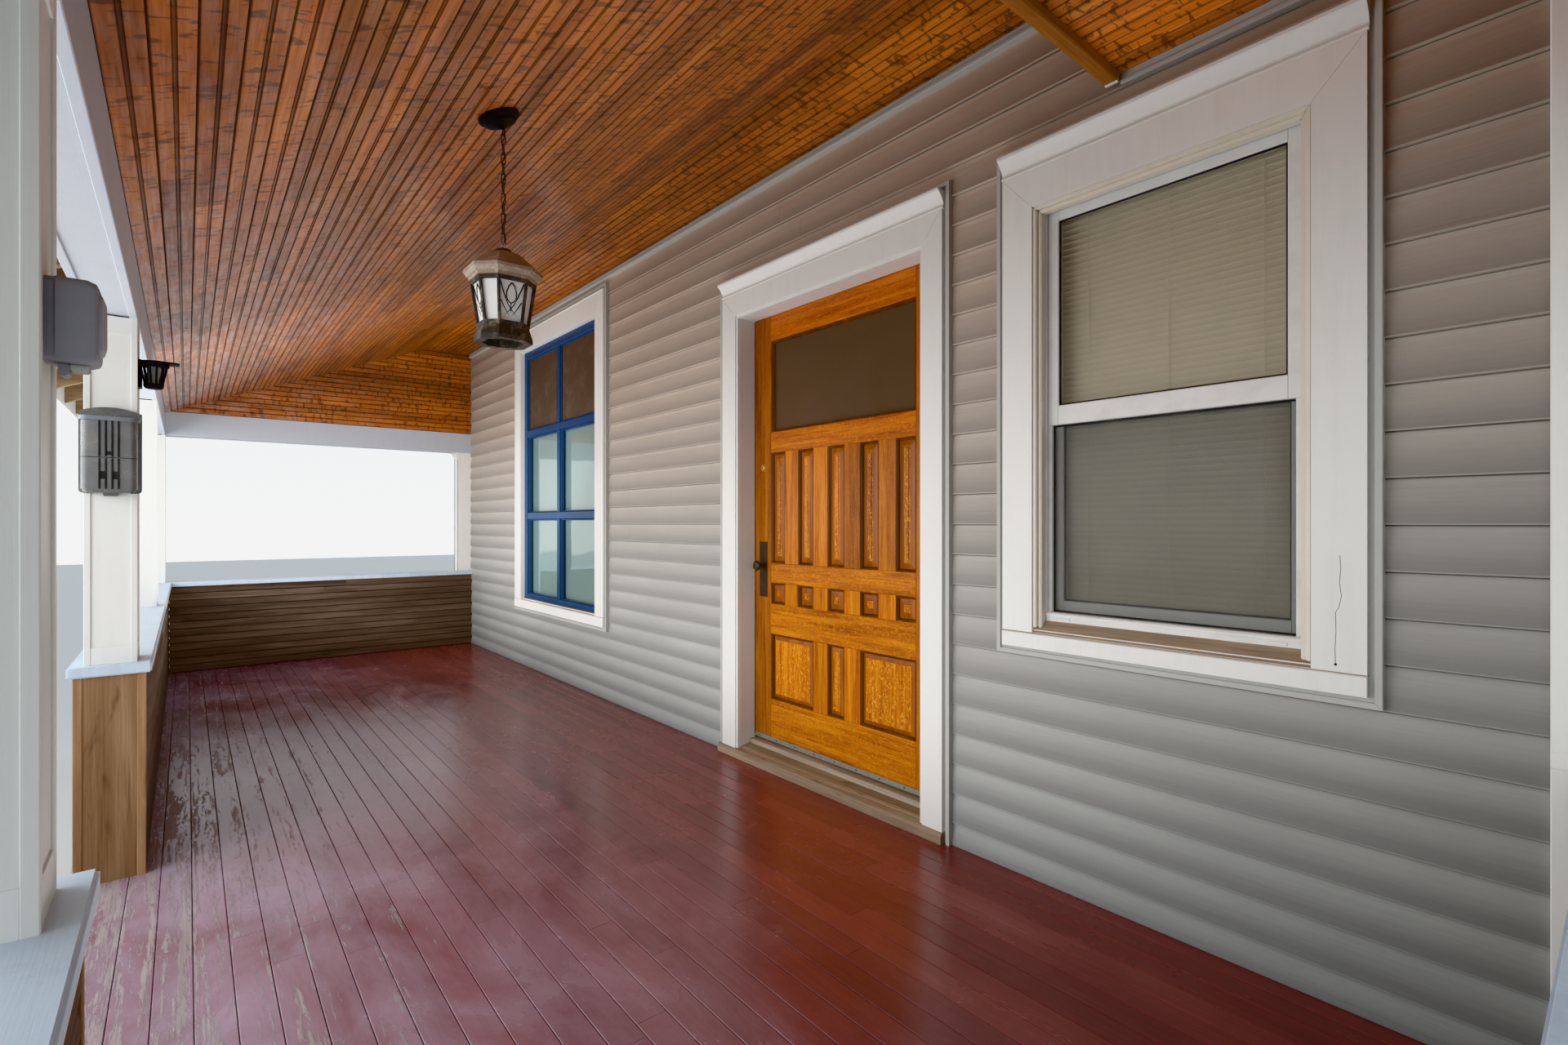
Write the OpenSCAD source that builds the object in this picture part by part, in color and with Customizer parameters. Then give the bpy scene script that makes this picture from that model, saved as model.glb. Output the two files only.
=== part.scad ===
// Front porch: timber deck, half walls, boxed posts and a shed roof, with the
// strip of house wall that carries it, its entrance door and its two windows.
// Places along the porch are measured from its near end and are called u.
// Depths are measured from the outer face of the front half wall towards the
// house and are called v. Values ending in _h are heights above the deck.

/* [Overall] */
// Length of the porch over its two end half walls
porch_len = 8060; // [7400:2:9500]
// Depth from the outer face of the front half wall to the face of the siding
porch_depth = 2546; // [2400:1:3200]
// Height of the deck above the ground
deck_top = 570; // [420:10:900]

/* [Deck] */
// Thickness of the floor boards
deck_t = 22; // [18:1:35]
// Overhang of the floor boards past the rim
deck_lip = 25; // [10:1:40]
// Depth of the joists and the rim
joist_d = 184; // [140:1:240]
// Thickness of the joists and the rim
joist_w = 38; // [30:1:60]
// Spacing of the joists
joist_pitch = 400; // [300:10:600]
// Width of a pier
pier_w = 290; // [200:10:400]
// Thickness of the skirt boards
skirt_t = 20; // [12:1:30]
// Gap under the skirt
skirt_gap = 15; // [0:1:60]

/* [Stair] */
// Number of risers up to the deck
riser_count = 3; // [2:1:5]
// Going of one tread
tread_run = 280; // [240:5:340]
// Thickness of a tread
tread_t = 32; // [25:1:50]
// Thickness of a riser board and of a stringer
stair_board = 20; // [18:1:30]
// Overhang of a tread past its riser
tread_nose = 25; // [10:1:40]

/* [Half walls] */
// Height of the cap's top
rail_h = 745; // [600:5:1000]
// Thickness of a half wall
rail_t = 186; // [176:1:260]
// Thickness of a cap
cap_t = 35; // [20:1:60]
// Overhang of a cap past its half wall
cap_over = 15; // [5:1:50]
// Length of half wall past the post at the stair
rail_end = 35; // [20:1:80]

/* [Posts and beams] */
// Width of a boxed post
post_w = 138; // [100:1:158]
// Width of the strip on a post's edge
strip_w = 18; // [8:1:30]
// Height of that strip above the post's face
strip_t = 3; // [1:0.5:6]
// Near face of the post on the near side of the stair
stair_post_near = 1356; // [1000:1:1500]
// Near face of the post on the far side of the stair
stair_post_far = 3550; // [3300:1:3700]
// Near face of the middle post
middle_post = 5748; // [4700:1:6500]
// Height of the underside of the beams
beam_h = 1955; // [1850:5:2300]
// Height of a beam's inner face
beam_d = 185; // [120:1:260]
// Depth of a half post against the house
pilaster_d = 140; // [80:1:180]
// Radius of the small bracket between half post and beam
bracket_r = 60; // [30:1:100]

/* [Ceiling and roof] */
// Slope of the ceiling and the roof in degrees
pitch = 22.85; // [19:0.05:26]
// Depth of the flat ceiling from the house wall to the sloped one
flat_d = 425; // [200:5:900]
// Clearance of the dropped ceiling over the crown of the white window
drop_over = 122; // [35:1:240]
// Far edge of the dropped ceiling
drop_end = 1228; // [900:1:1600]
// Thickness of the ceiling boards
board_t = 12; // [8:1:20]
// Height of the batten along the dropped ceiling
batten_d = 30; // [15:1:50]
// Width of that batten
batten_w = 45; // [25:1:70]
// Depth of a rafter
rafter_d = 140; // [100:1:200]
// Thickness of a rafter
rafter_w = 38; // [30:1:60]
// Widest spacing of the rafters
rafter_pitch = 600; // [400:10:700]
// Thickness of the roof deck and its covering
roof_t = 30; // [20:1:50]
// Overhang of the rafters past the front beam
eave_over = 300; // [150:5:420]
// Overhang of the roof past the porch's ends
rake_over = 200; // [100:5:350]
// Thickness of the fascia and rake boards
fascia_t = 25; // [18:1:35]
// Overhang of the roof deck past the fascia
drip = 20; // [10:1:40]
// Height of house wall left above the roof
wall_above = 60; // [20:5:200]

/* [House wall] */
// Thickness of the house wall behind the siding
wall_t = 130; // [120:1:200]
// Exposed height of one siding course
lap = 114.3; // [90:0.1:160]
// Thickness of the siding at the bottom of a course
lap_t = 20; // [14:1:24]
// Thickness of the siding at the top of a course
lap_thin = 9; // [4:1:12]
// Height of the lowest course's upper edge
lap_first = 85.6; // [20:0.1:114]
// Width of the siding's channels round the openings
channel_w = 28; // [18:1:40]
// Projection of those channels past the siding
channel_out = 18; // [10:1:20]
// Height of the siding's channel under the ceilings
top_channel = 40; // [20:1:50]
// Width of the board at the siding's near end
corner_w = 105; // [60:5:150]
// Thickness of that board
corner_t = 35; // [25:1:45]
// Height of the strip along the siding's foot
base_strip = 20; // [10:1:40]
// Thickness of the casings
casing_t = 45; // [35:1:60]
// Projection of the crown past the casing
crown_out = 30; // [15:1:60]
// Height of the crown
crown_d = 72; // [45:1:100]
// Length of the crown past the casing
crown_side = 4; // [1:1:20]
// Height of the bead along the crown's foot
crown_bead = 11; // [6:1:20]
// Depth of the fillet over that bead
crown_set = 5; // [2:1:8]
// Height of the fillet along the crown's top
crown_lip = 10; // [5:1:15]

/* [Front door] */
// Near side of the rebate that the leaf stands in
door_at = 1966; // [1860:1:2060]
// Width between the two sides of that rebate
door_w = 1243; // [1080:1:1260]
// Height of the rebate's upper side
door_head_h = 2325; // [2250:1:2360]
// Height of the sill's top
sill_h = 86; // [75:1:110]
// Height of the sill's front edge
sill_edge = 42; // [30:1:50]
// Projection of the sill in front of the casing
sill_out = 12; // [5:1:60]
// Depth of the sill's raised back in front of the leaf
sill_ledge = 35; // [20:1:50]
// Drop of the sill in front of that raised back
sill_step = 22; // [10:1:24]
// Length of the sill past the near casing
sill_horn = 3; // [1:1:20]
// Length of the sill past the far casing
sill_horn_far = 26; // [1:1:30]
// Thickness of a jamb behind the rebate
jamb_t = 32; // [20:1:45]
// Depth of the rebate, which the leaf's edge overlaps
stop_t = 10; // [9:1:20]
// Width of the casing on the near side
door_casing_w = 98; // [80:1:130]
// Width of the casing on the far side
door_casing_far = 119; // [80:1:140]
// Height of the head casing
door_head_w = 113; // [90:1:140]
// Thickness of the strip inside the casing
edge_strip = 14; // [10:1:20]
// Depth of that strip
edge_strip_d = 24; // [12:1:30]
// Setback of that strip behind the casing's face
edge_strip_in = 6; // [2:1:10]
// Overlap of the casings on their frames
casing_lap = 26; // [10:1:30]
// Thickness of the leaf
leaf_t = 45; // [38:1:55]
// Gap at the sides of the leaf
leaf_gap = 7; // [6:0.5:10]
// Gap over and under the leaf
leaf_rise = 7; // [6:0.5:10]
// Gap between the leaf and its stops
stop_gap = 5; // [5:0.5:8]
// Width of the hinge stile
stile_w = 122; // [90:1:150]
// Width of the lock stile
lock_stile = 137; // [90:1:150]
// Width of the muntins between the panels
muntin_w = 103; // [60:1:120]
// Height of the bottom rail
bottom_rail = 222; // [140:1:260]
// Height of the low panels
low_len = 341; // [240:1:380]
// Height of the rail above the low panels
third_rail = 157; // [100:1:180]
// Height of the small square panels
square_len = 109; // [80:1:130]
// Height of the rail above the square panels
second_rail = 103; // [70:1:130]
// Height of the tall panels
tall_len = 576; // [450:1:600]
// Height of the rail under the glass
mid_rail = 108; // [70:1:140]
// Height of the glass
lite_len = 476; // [380:1:490]
// Thickness of a panel
panel_t = 14; // [8:1:20]
// Height of a panel's raised field
field_t = 9; // [3:1:11]
// Width of the sunk border of a panel
field_in = 20; // [10:1:30]
// Thickness of a pane of glass
glass_t = 6; // [3:1:10]
// Width of the lock plate
plate_w = 62; // [40:1:80]
// Height of the lock plate
plate_len = 290; // [200:1:320]
// Thickness of the lock plate
plate_t = 3; // [2:0.5:5]
// Height of the knob above the middle of the lock plate
plate_drop = 20; // [0:1:60]
// Distance of the knob's centre from the leaf's edge
backset = 75; // [60:1:90]
// Height of the knob's centre
knob_h = 1010; // [950:1:1100]
// Radius of the knob
knob_r = 27; // [20:1:32]
// Projection of the knob from the leaf
knob_out = 58; // [45:1:62]
// Radius of the knob's neck
neck_r = 9; // [6:0.5:12]
// Height of a hinge
hinge_len = 102; // [70:2:140]
// Radius of a hinge pin
pin_r = 3.5; // [3:0.1:4]
// Running clearance round a hinge pin
pin_play = 0.05; // [0.02:0.01:0.1]
// Wall of a hinge knuckle round the pin
knuckle_wall = 3; // [2:0.5:3]
// Thickness of a hinge plate
hinge_plate = 2.2; // [1.5:0.1:2.5]
// Width of a hinge plate on the leaf's edge
hinge_w = 34; // [25:1:38]
// Distance of the hinge pins behind the wall's inner face
hinge_out = 6; // [5:0.5:10]
// Distance of the end hinges from the leaf's ends
hinge_end = 180; // [120:5:250]
// Gap between the two halves of a hinge
hinge_gap = 1; // [0.5:0.5:2]
// Length of the hinge pin over the upper knuckle
pin_head = 4; // [2:1:8]

/* [White window] */
// Near edge of the window's frame
win_at = 663; // [560:1:720]
// Width of the frame
win_w = 846; // [650:1:870]
// Height of the frame's bottom
win_low_h = 871; // [800:1:1000]
// Height of the frame
win_len = 1473; // [1200:1:1490]
// Width of the casing at the sides
win_casing_w = 115; // [90:1:140]
// Height of the head casing
win_head_w = 128; // [90:1:135]
// Width of the frame's upright members
win_bar = 54; // [30:1:70]
// Height of the frame's upper member
win_head_bar = 41; // [30:1:70]
// Height of the frame's lower member
win_foot_bar = 12; // [8:1:40]
// Width of the sash members
sash_bar = 38; // [25:1:60]
// Height of the meeting rails
meet_bar = 66; // [30:1:80]
// Depth of the upper sash behind the sheathing's face
sash_in = 12; // [5:1:20]
// Depth of one sash
sash_d = 32; // [20:1:40]
// Depth of the frame
win_d = 95; // [80:1:110]
// Height of the middle of the meeting rails
meet_h = 1602; // [1450:1:1750]
// Thickness of the blind
blind_t = 10; // [4:1:15]

/* [Window sills] */
// Height of a sill's front edge
stool_d = 51; // [30:1:70]
// Rise of a sill's top from its front edge to the sheathing
stool_rise = 24; // [10:1:30]
// Projection of a sill in front of the casing
stool_out = 4; // [1:1:30]
// Distance from the white frame's bottom down to the top of its sill's front edge
stool_under = 16; // [4:1:20]
// Height of the blue window's sill at its front edge
blue_stool_d = 65; // [40:1:90]
// Height of that front edge's top above the blue frame's bottom
blue_stool_up = 10; // [0:1:20]

/* [Blue window] */
// Near edge of the window's frame
blue_at = 4913; // [4100:1:5100]
// Width of the frame
blue_w = 1469; // [1200:1:1500]
// Height of the frame's bottom
blue_low_h = 562; // [480:1:700]
// Height of the frame
blue_len = 2146; // [1900:1:2150]
// Width of the casing at the sides
blue_casing_w = 138; // [100:1:160]
// Height of the casing over the frame
blue_head_w = 165; // [80:1:170]
// Width of the frame's members
blue_bar = 66; // [40:1:80]
// Width of the upright glazing bar
blue_muntin = 50; // [20:1:60]
// Height of the cross bars
blue_cross = 58; // [30:1:80]
// Height of the middle of the lower cross bar
blue_low_rail = 1296; // [1100:1:1500]
// Height of the middle of the upper cross bar
blue_high_rail = 2002; // [1800:1:2200]
// Depth of the frame
blue_d = 50; // [35:1:70]
// Projection of the frame in front of the sheathing
blue_out = 10; // [0:1:20]

/* [Hanging lantern] */
// Place of the lantern along the porch
lamp_at = 2443; // [2000:1:3000]
// Depth of the lantern's axis
lamp_v = 1063; // [800:1:1300]
// Height of the lantern's top ring
lamp_top_h = 2120; // [2050:1:2200]
// Height of the lantern's bottom
lamp_low_h = 1800; // [1740:1:1830]
// Height of the base ring
lamp_base_d = 45; // [30:1:60]
// Height of the upright lip along the base ring's foot
lamp_lip = 14; // [8:1:20]
// Height of the glass body
lamp_body_d = 145; // [120:1:160]
// Width of the base ring across its corners
lamp_base_w = 176; // [165:1:200]
// Width of the opening in the base ring across its corners
lamp_hole_w = 124; // [90:1:128]
// Width of the body's bottom across its corners
lamp_foot_w = 156; // [150:1:165]
// Width of the body's top across its corners
lamp_body_w = 200; // [180:1:220]
// Length of a narrow side's projection as a share of half the width
lamp_cut = 0.5; // [0.4:0.05:0.6]
// Width of a corner bar
lamp_bar = 9; // [6:1:12]
// Height of the bands that join the corner bars
lamp_band = 12; // [8:1:16]
// Thickness of the lantern's glass
lamp_glass = 4; // [2:0.5:5]
// Clearance round the lantern's glass
lamp_gap = 1; // [0.5:0.5:2]
// Diameter of the ceiling canopy
canopy_d = 128; // [100:1:150]
// Height of the ceiling canopy
canopy_t = 40; // [28:1:50]
// Clearance between the canopy and the ceiling
canopy_gap = 0.02; // [0.01:0.01:0.05]
// Length of the straight part of a chain link
link_len = 22; // [16:1:30]
// Radius of a link's round ends, at the middle of the wire
link_bend = 6; // [5:0.5:8]
// Thickness of the chain's wire
link_wire = 3.5; // [2:0.5:4]
// Play between one link's wire and the next
link_play = 0.05; // [0.02:0.01:0.2]
// Radius of the rings at both ends of the chain, at the middle of the wire
hook_r = 9; // [7:0.5:12]
// Radius of the lantern's finial under its ring
finial_r = 10; // [6:0.5:14]

/* [Letter box] */
// Width of the letter box
box_w = 222; // [160:1:240]
// Height of the letter box to the top of its back plate
box_len = 298; // [220:1:320]
// Rise of the back plate's curved top
box_arch = 18; // [8:1:40]
// Distance from the back plate's upper corners down to the box's rim
box_drop = 22; // [10:1:40]
// Depth of the letter box
box_d = 88; // [60:1:110]
// Height of the letter box's bottom
box_low_h = 1337; // [1200:1:1450]
// Thickness of the back plate
box_back = 6; // [4:1:10]
// Thickness of the box's walls and floor
box_wall = 4; // [3:0.5:5]
// Overhang of the back plate past the rim's sides
box_side = 4; // [2:1:10]
// Radius of the rim's corners
box_round = 26; // [22:1:40]
// Height of the rim round the open top
box_lip = 14; // [8:1:25]
// Projection of that rim from the box
box_lip_out = 6; // [4:1:10]
// Depth and height of the groove between the upper and the lower part
box_groove = 2; // [1:0.5:3]
// Height of that groove above the bottom
box_split = 118; // [60:1:160]
// Distance between the ribs on the front
rib_pitch = 20; // [14:1:24]
// Width of a rib
rib_w = 5; // [3:1:8]
// Projection of a rib
rib_t = 3; // [1:0.5:4]
// Width of a slot between the ribs
slot_w = 10; // [6:1:12]
// Height of a slot
slot_len = 26; // [15:1:40]
// Width of the small tab under the box
tab_w = 40; // [20:1:60]
// Height of that tab
tab_d = 10; // [5:1:15]

/* [Sensor and cage lamp] */
// Height of the sensor housing
sensor_len = 105; // [80:1:160]
// Height of the sensor housing's bottom
sensor_low_h = 1435; // [1350:1:1480]
// Width of the sensor housing
sensor_w = 78; // [50:1:100]
// Depth of the sensor housing
sensor_d = 56; // [35:1:70]
// Width of the bevel round the sensor's front
sensor_bevel = 14; // [6:1:20]
// Height of the cage lamp
cage_len = 100; // [80:1:130]
// Distance from the beam down to the cage lamp's top
cage_drop = 133; // [40:1:300]
// Diameter of the cage lamp's top
cage_w = 88; // [70:1:100]
// Diameter of the cage lamp's bottom
cage_foot_w = 56; // [40:1:64]
// Thickness of the cage lamp's lid and foot
cage_lid = 18; // [10:1:22]
// Thickness of a cage bar
cage_bar = 5; // [3:1:8]
// Diameter of the glass inside the cage
cage_glass_w = 38; // [24:1:40]
// Thickness of the cage lamp's wall plate
cage_plate = 12; // [8:1:15]
// Rounding of the cage lamp's foot
cage_round = 8; // [3:1:12]
// Width of the lid's rim round the cage
cage_rim = 3; // [1:0.5:6]
// Projection of the visor past the lid
cage_visor = 30; // [10:1:50]
// Thickness of the visor
cage_visor_t = 6; // [3:1:8]

/* [Hidden] */
$fn = 48;

// Height above the ground of a height above the deck
function z(h) = deck_top + h;

// Sloped places are kept on hundredths, so that pieces meet at the same points
function cent(x) = round(x * 100) / 100;

// Depths of the main planes
v_sheath = porch_depth + lap_t;
v_back = v_sheath + wall_t;
v_casing = v_sheath - casing_t;
v_channel = porch_depth - channel_out;
leaf_v = [v_back - stop_gap - leaf_t, v_back - stop_gap];
post_in = (rail_t - post_w) / 2;
beam_out = post_in;
beam_in = post_in + post_w;

// Stair
riser = deck_top / riser_count;
tread_count = riser_count - 1;
stair_reach = tread_count * tread_run + stair_board + tread_nose;
stair_u = [stair_post_near + post_w + rail_end, stair_post_far - rail_end];

// Roof lines: each is the height over the ground at depth v
slope = tan(pitch);
tilted = 1 / cos(pitch);
function ceiling_z(v) = cent(z(beam_h + beam_d) + slope * (v - beam_in));
function rafter_z(v) = cent(ceiling_z(v) + board_t * tilted);
function roof_z(v) = cent(rafter_z(v) + rafter_d * tilted);
function slope_v(h) = cent(beam_in + (h - beam_h - beam_d) / slope);
flat_h = round(ceiling_z(v_sheath - flat_d) - deck_top);
drop_h = win_low_h + win_len - casing_lap + win_head_w + crown_d + drop_over;
roof_rise = cent(roof_t * tilted);
beam_top = rafter_z(beam_in);
tail_v = beam_out - eave_over;
break_v = slope_v(flat_h);
wall_top = cent(roof_z(v_sheath) + roof_rise + wall_above);

// Overall depth, which puts the origin under the middle of the whole porch
front_reach = max(stair_reach, fascia_t + drip - tail_v, deck_lip);
back_reach = max(v_back, leaf_v[1] + plate_t + knob_out);
y_front = (front_reach - back_reach) / 2;
function along(u) = porch_len / 2 - u;

// Box between two places along the porch, two depths and two heights
module block(u, v, z) {
    translate([along(u[1]), y_front + v[0], z[0]])
        cube([u[1] - u[0], v[1] - v[0], z[1] - z[0]]);
}

// Section drawn as depth and height, run along the porch
module run(u) {
    translate([along(u[1]), y_front, 0])
        rotate([90, 0, 90])
            linear_extrude(u[1] - u[0])
                children();
}

// Elevation drawn as place and height, run through a depth
module elevation(v) {
    translate([0, y_front + v[1], 0])
        rotate([90, 0, 0])
            linear_extrude(v[1] - v[0])
                children();
}

// Rectangle for an elevation
module pane(u, z) {
    translate([along(u[1]), z[0]])
        square([u[1] - u[0], z[1] - z[0]]);
}

// Plan drawn from the near end, run between two heights
module plan(z) {
    translate([porch_len / 2, y_front, z[0]])
        mirror([1, 0, 0])
            linear_extrude(z[1] - z[0])
                children();
}

module both_ends() {
    children();
    mirror([1, 0, 0]) children();
}

// Deck and what carries it
frame_low = deck_top - deck_t - joist_d;
skirt_in = (joist_w - skirt_t) / 2;
pier_in = skirt_in + skirt_t;

module foundation() {
    color("gray")
        block([0, porch_len], [v_sheath, v_back], [0, deck_top]);
}

module piers() {
    ends = [pier_in, porch_len - pier_in - pier_w];
    middles = [for (u = [stair_post_near, stair_post_far, middle_post])
        u + (post_w - pier_w) / 2];
    color("darkgray")
        for (u = concat(ends, middles))
            block([u, u + pier_w], [pier_in, pier_in + pier_w], [0, frame_low]);
}

module rim_beam() {
    color("saddlebrown") {
        block([0, porch_len], [0, joist_w], [frame_low, deck_top - deck_t]);
        both_ends()
            block([0, joist_w], [0, v_sheath], [frame_low, deck_top - deck_t]);
    }
}

module floor_joists() {
    count = floor((porch_len - 2 * joist_w) / joist_pitch);
    step = (porch_len - 2 * joist_w) / count;
    color("burlywood")
        for (i = [1 : count - 1])
            block([joist_w + i * step - joist_w / 2, joist_w + i * step + joist_w / 2],
                  [joist_w, v_sheath], [frame_low, deck_top - deck_t]);
}

module deck() {
    color("brown")
        block([-deck_lip, porch_len + deck_lip], [-deck_lip, v_sheath],
              [deck_top - deck_t, deck_top]);
}

module skirt() {
    color("sienna") {
        block([skirt_in, stair_u[0]], [skirt_in, pier_in], [skirt_gap, frame_low]);
        block([stair_u[1], porch_len - skirt_in], [skirt_in, pier_in], [skirt_gap, frame_low]);
        both_ends()
            block([skirt_in, pier_in], [skirt_in, v_sheath], [skirt_gap, frame_low]);
    }
}

// Stair: step i has its front at this depth and its support at this height
function step_v(i) = (i - tread_count) * tread_run;
function step_z(i) = i == 0 ? 0 : riser * i - tread_t;

module stringers() {
    profile = concat(
        [[0, 0]],
        [for (i = [0 : tread_count - 1]) each [[step_v(i), step_z(i)], [step_v(i), step_z(i + 1)]]],
        [[0, step_z(tread_count)]]);
    middle = (stair_u[0] + stair_u[1] - joist_w) / 2;
    color("burlywood")
        for (u = [stair_u[0], middle, stair_u[1] - joist_w])
            run([u, u + joist_w]) polygon(profile);
}

module risers() {
    color("white")
        for (i = [0 : tread_count])
            block(stair_u, [step_v(i) - stair_board, step_v(i)],
                  [step_z(i), i == tread_count ? deck_top - deck_t : step_z(i + 1)]);
}

module stair_treads() {
    color("brown")
        for (i = [0 : tread_count - 1])
            block(stair_u, [step_v(i) - stair_board - tread_nose, step_v(i + 1) - stair_board],
                  [step_z(i + 1), riser * (i + 1)]);
}

// Half walls and their caps
wall_z = [deck_top, z(rail_h - cap_t)];
cap_z = [z(rail_h - cap_t), z(rail_h)];

module front_half_walls() {
    color("sienna") {
        block([0, stair_u[0]], [0, rail_t], wall_z);
        block([stair_u[1], porch_len], [0, rail_t], wall_z);
    }
}

module end_half_walls() {
    color("sienna")
        both_ends()
            block([0, rail_t], [rail_t, v_sheath], wall_z);
}

// Front cap with a mitred corner, as long as the half wall under it
module front_cap(length) {
    inner = rail_t + cap_over;
    plan(cap_z)
        polygon([[-cap_over, -cap_over], [length + cap_over, -cap_over],
                 [length + cap_over, inner], [inner, inner]]);
}

module front_caps() {
    color("gainsboro") {
        front_cap(stair_u[0]);
        mirror([1, 0, 0]) front_cap(porch_len - stair_u[1]);
    }
}

module end_caps() {
    inner = rail_t + cap_over;
    color("gainsboro")
        both_ends()
            plan(cap_z)
                polygon([[-cap_over, -cap_over], [inner, inner],
                         [inner, v_sheath], [-cap_over, v_sheath]]);
}

// Posts
module post_section() {
    flat = post_w - 2 * strip_w;
    difference() {
        square(post_w, center = true);
        for (turn = [0 : 90 : 270])
            rotate(turn)
                translate([post_w / 2 - strip_t, -flat / 2])
                    square([2 * strip_t, flat]);
    }
}

module posts() {
    corners = [post_in, porch_len - post_in - post_w];
    color("white")
        for (u = concat(corners, [stair_post_near, stair_post_far, middle_post]))
            translate([along(u + post_w / 2), y_front + post_in + post_w / 2, z(rail_h)])
                linear_extrude(beam_h - rail_h)
                    post_section();
}

// Half post on the house with its curved bracket under the end beam
module pilaster_section() {
    front = v_sheath - pilaster_d;
    difference() {
        translate([front - bracket_r, z(rail_h)])
            square([pilaster_d + bracket_r, beam_h - rail_h]);
        translate([front - bracket_r, z(rail_h) - bracket_r])
            square([bracket_r, beam_h - rail_h]);
        translate([front - bracket_r, z(beam_h) - bracket_r])
            circle(bracket_r);
    }
}

module pilasters() {
    color("white")
        both_ends()
            run([post_in, beam_in]) pilaster_section();
}

// Beams, gables and ceilings
module front_beam() {
    color("white")
        block([post_in, porch_len - post_in], [beam_out, beam_in], [z(beam_h), beam_top]);
}

module end_beams() {
    color("white")
        both_ends()
            block([post_in, beam_in], [beam_in, v_sheath], [z(beam_h), beam_top]);
}

module gable_panels() {
    color("chocolate")
        both_ends()
            run([post_in, beam_in])
                polygon([[beam_in, beam_top], [v_sheath, beam_top],
                         [v_sheath, rafter_z(v_sheath)], [break_v, rafter_z(break_v)]]);
}

// Inside of the porch, and where the dropped ceiling meets the sloped one
ceiling_u = [beam_in, porch_len - beam_in];
drop_low = [slope_v(drop_h), z(drop_h)];
drop_high = [slope_v(drop_h + board_t), z(drop_h + board_t)];
batten_low = [slope_v(drop_h - batten_d), z(drop_h - batten_d)];

module ceiling_slope() {
    color("chocolate")
        run(ceiling_u)
            polygon([[beam_in, ceiling_z(beam_in)], batten_low, drop_low, drop_high,
                     [break_v, z(flat_h)], [break_v, rafter_z(break_v)], [beam_in, beam_top]]);
}

module ceiling_flat() {
    color("chocolate")
        block(ceiling_u, [break_v, v_sheath], [z(flat_h), z(flat_h + board_t)]);
}

module ceiling_drop() {
    color("chocolate") {
        run([ceiling_u[0], drop_end])
            polygon([drop_low, [porch_depth, drop_low[1]],
                     [porch_depth, drop_high[1]], drop_high]);
        run([drop_end - board_t, drop_end])
            polygon([drop_high, [porch_depth, drop_high[1]],
                     [porch_depth, z(flat_h)], [break_v, z(flat_h)]]);
        run([drop_end - batten_w, drop_end])
            polygon([batten_low, [v_channel, batten_low[1]],
                     [v_channel, drop_low[1]], drop_low]);
    }
}

// Roof
module rafter_section() {
    polygon([[tail_v, rafter_z(tail_v)], [beam_out, rafter_z(beam_out)],
             [beam_out, beam_top], [beam_in, beam_top],
             [break_v, rafter_z(break_v)], [v_sheath, rafter_z(v_sheath)],
             [v_sheath, roof_z(v_sheath)], [tail_v, roof_z(tail_v)]]);
}

module rafters() {
    span = porch_len - 2 * post_in - rafter_w;
    count = ceil(span / rafter_pitch);
    color("tan")
        for (i = [0 : count]) {
            u = post_in + i * span / count;
            run([u, u + rafter_w]) rafter_section();
        }
}

roof_u = [-rake_over, porch_len + rake_over];
fascia_v = tail_v - fascia_t;
drip_v = fascia_v - drip;

module roof_deck() {
    color("dimgray")
        run(roof_u)
            polygon([[drip_v, roof_z(drip_v)], [fascia_v, roof_z(fascia_v)],
                     [tail_v, roof_z(tail_v)], [v_sheath, roof_z(v_sheath)],
                     [v_sheath, roof_z(v_sheath) + roof_rise],
                     [drip_v, roof_z(drip_v) + roof_rise]]);
}

module fascia() {
    color("white")
        run(roof_u)
            polygon([[fascia_v, rafter_z(tail_v) - drip], [tail_v, rafter_z(tail_v) - drip],
                     [tail_v, roof_z(tail_v)], [fascia_v, roof_z(fascia_v)]]);
}

module rake_boards() {
    color("white")
        both_ends()
            run([-rake_over, fascia_t - rake_over])
                polygon([[tail_v, rafter_z(tail_v)], [v_sheath, rafter_z(v_sheath)],
                         [v_sheath, roof_z(v_sheath)], [tail_v, roof_z(tail_v)]]);
}

// House wall, split beside and over the doorway
door_rough = [door_at - jamb_t, door_at + door_w + jamb_t];
door_rough_top = z(door_head_h) + jamb_t;
win_u = [win_at, win_at + win_w];
win_z = [z(win_low_h), z(win_low_h + win_len)];
blue_u = [blue_at, blue_at + blue_w];
blue_z = [z(blue_low_h), z(blue_low_h + blue_len)];

module wall_near() {
    color("lightgray")
        elevation([v_sheath, v_back])
            difference() {
                pane([0, door_rough[0]], [deck_top, wall_top]);
                pane(win_u, win_z);
            }
}

module wall_far() {
    color("lightgray")
        elevation([v_sheath, v_back])
            difference() {
                pane([door_rough[1], porch_len], [deck_top, wall_top]);
                pane(blue_u, blue_z);
            }
}

module wall_over_door() {
    color("lightgray")
        block(door_rough, [v_sheath, v_back], [door_rough_top, wall_top]);
}

// Doorway: clear opening in front of the leaf, then the casing's two edges
open_u = [door_at + stop_t, door_at + door_w - stop_t];
open_top = z(door_head_h - stop_t);
inner_u = open_u + [-edge_strip, edge_strip];
inner_top = open_top + edge_strip;
door_casing_u = inner_u + [-door_casing_w, door_casing_far];
door_casing_top = inner_top + door_head_w;
door_sill_u = door_casing_u + [-sill_horn, sill_horn_far];
strip_v = [v_casing + edge_strip_in, v_casing + edge_strip_in + edge_strip_d];

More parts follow.
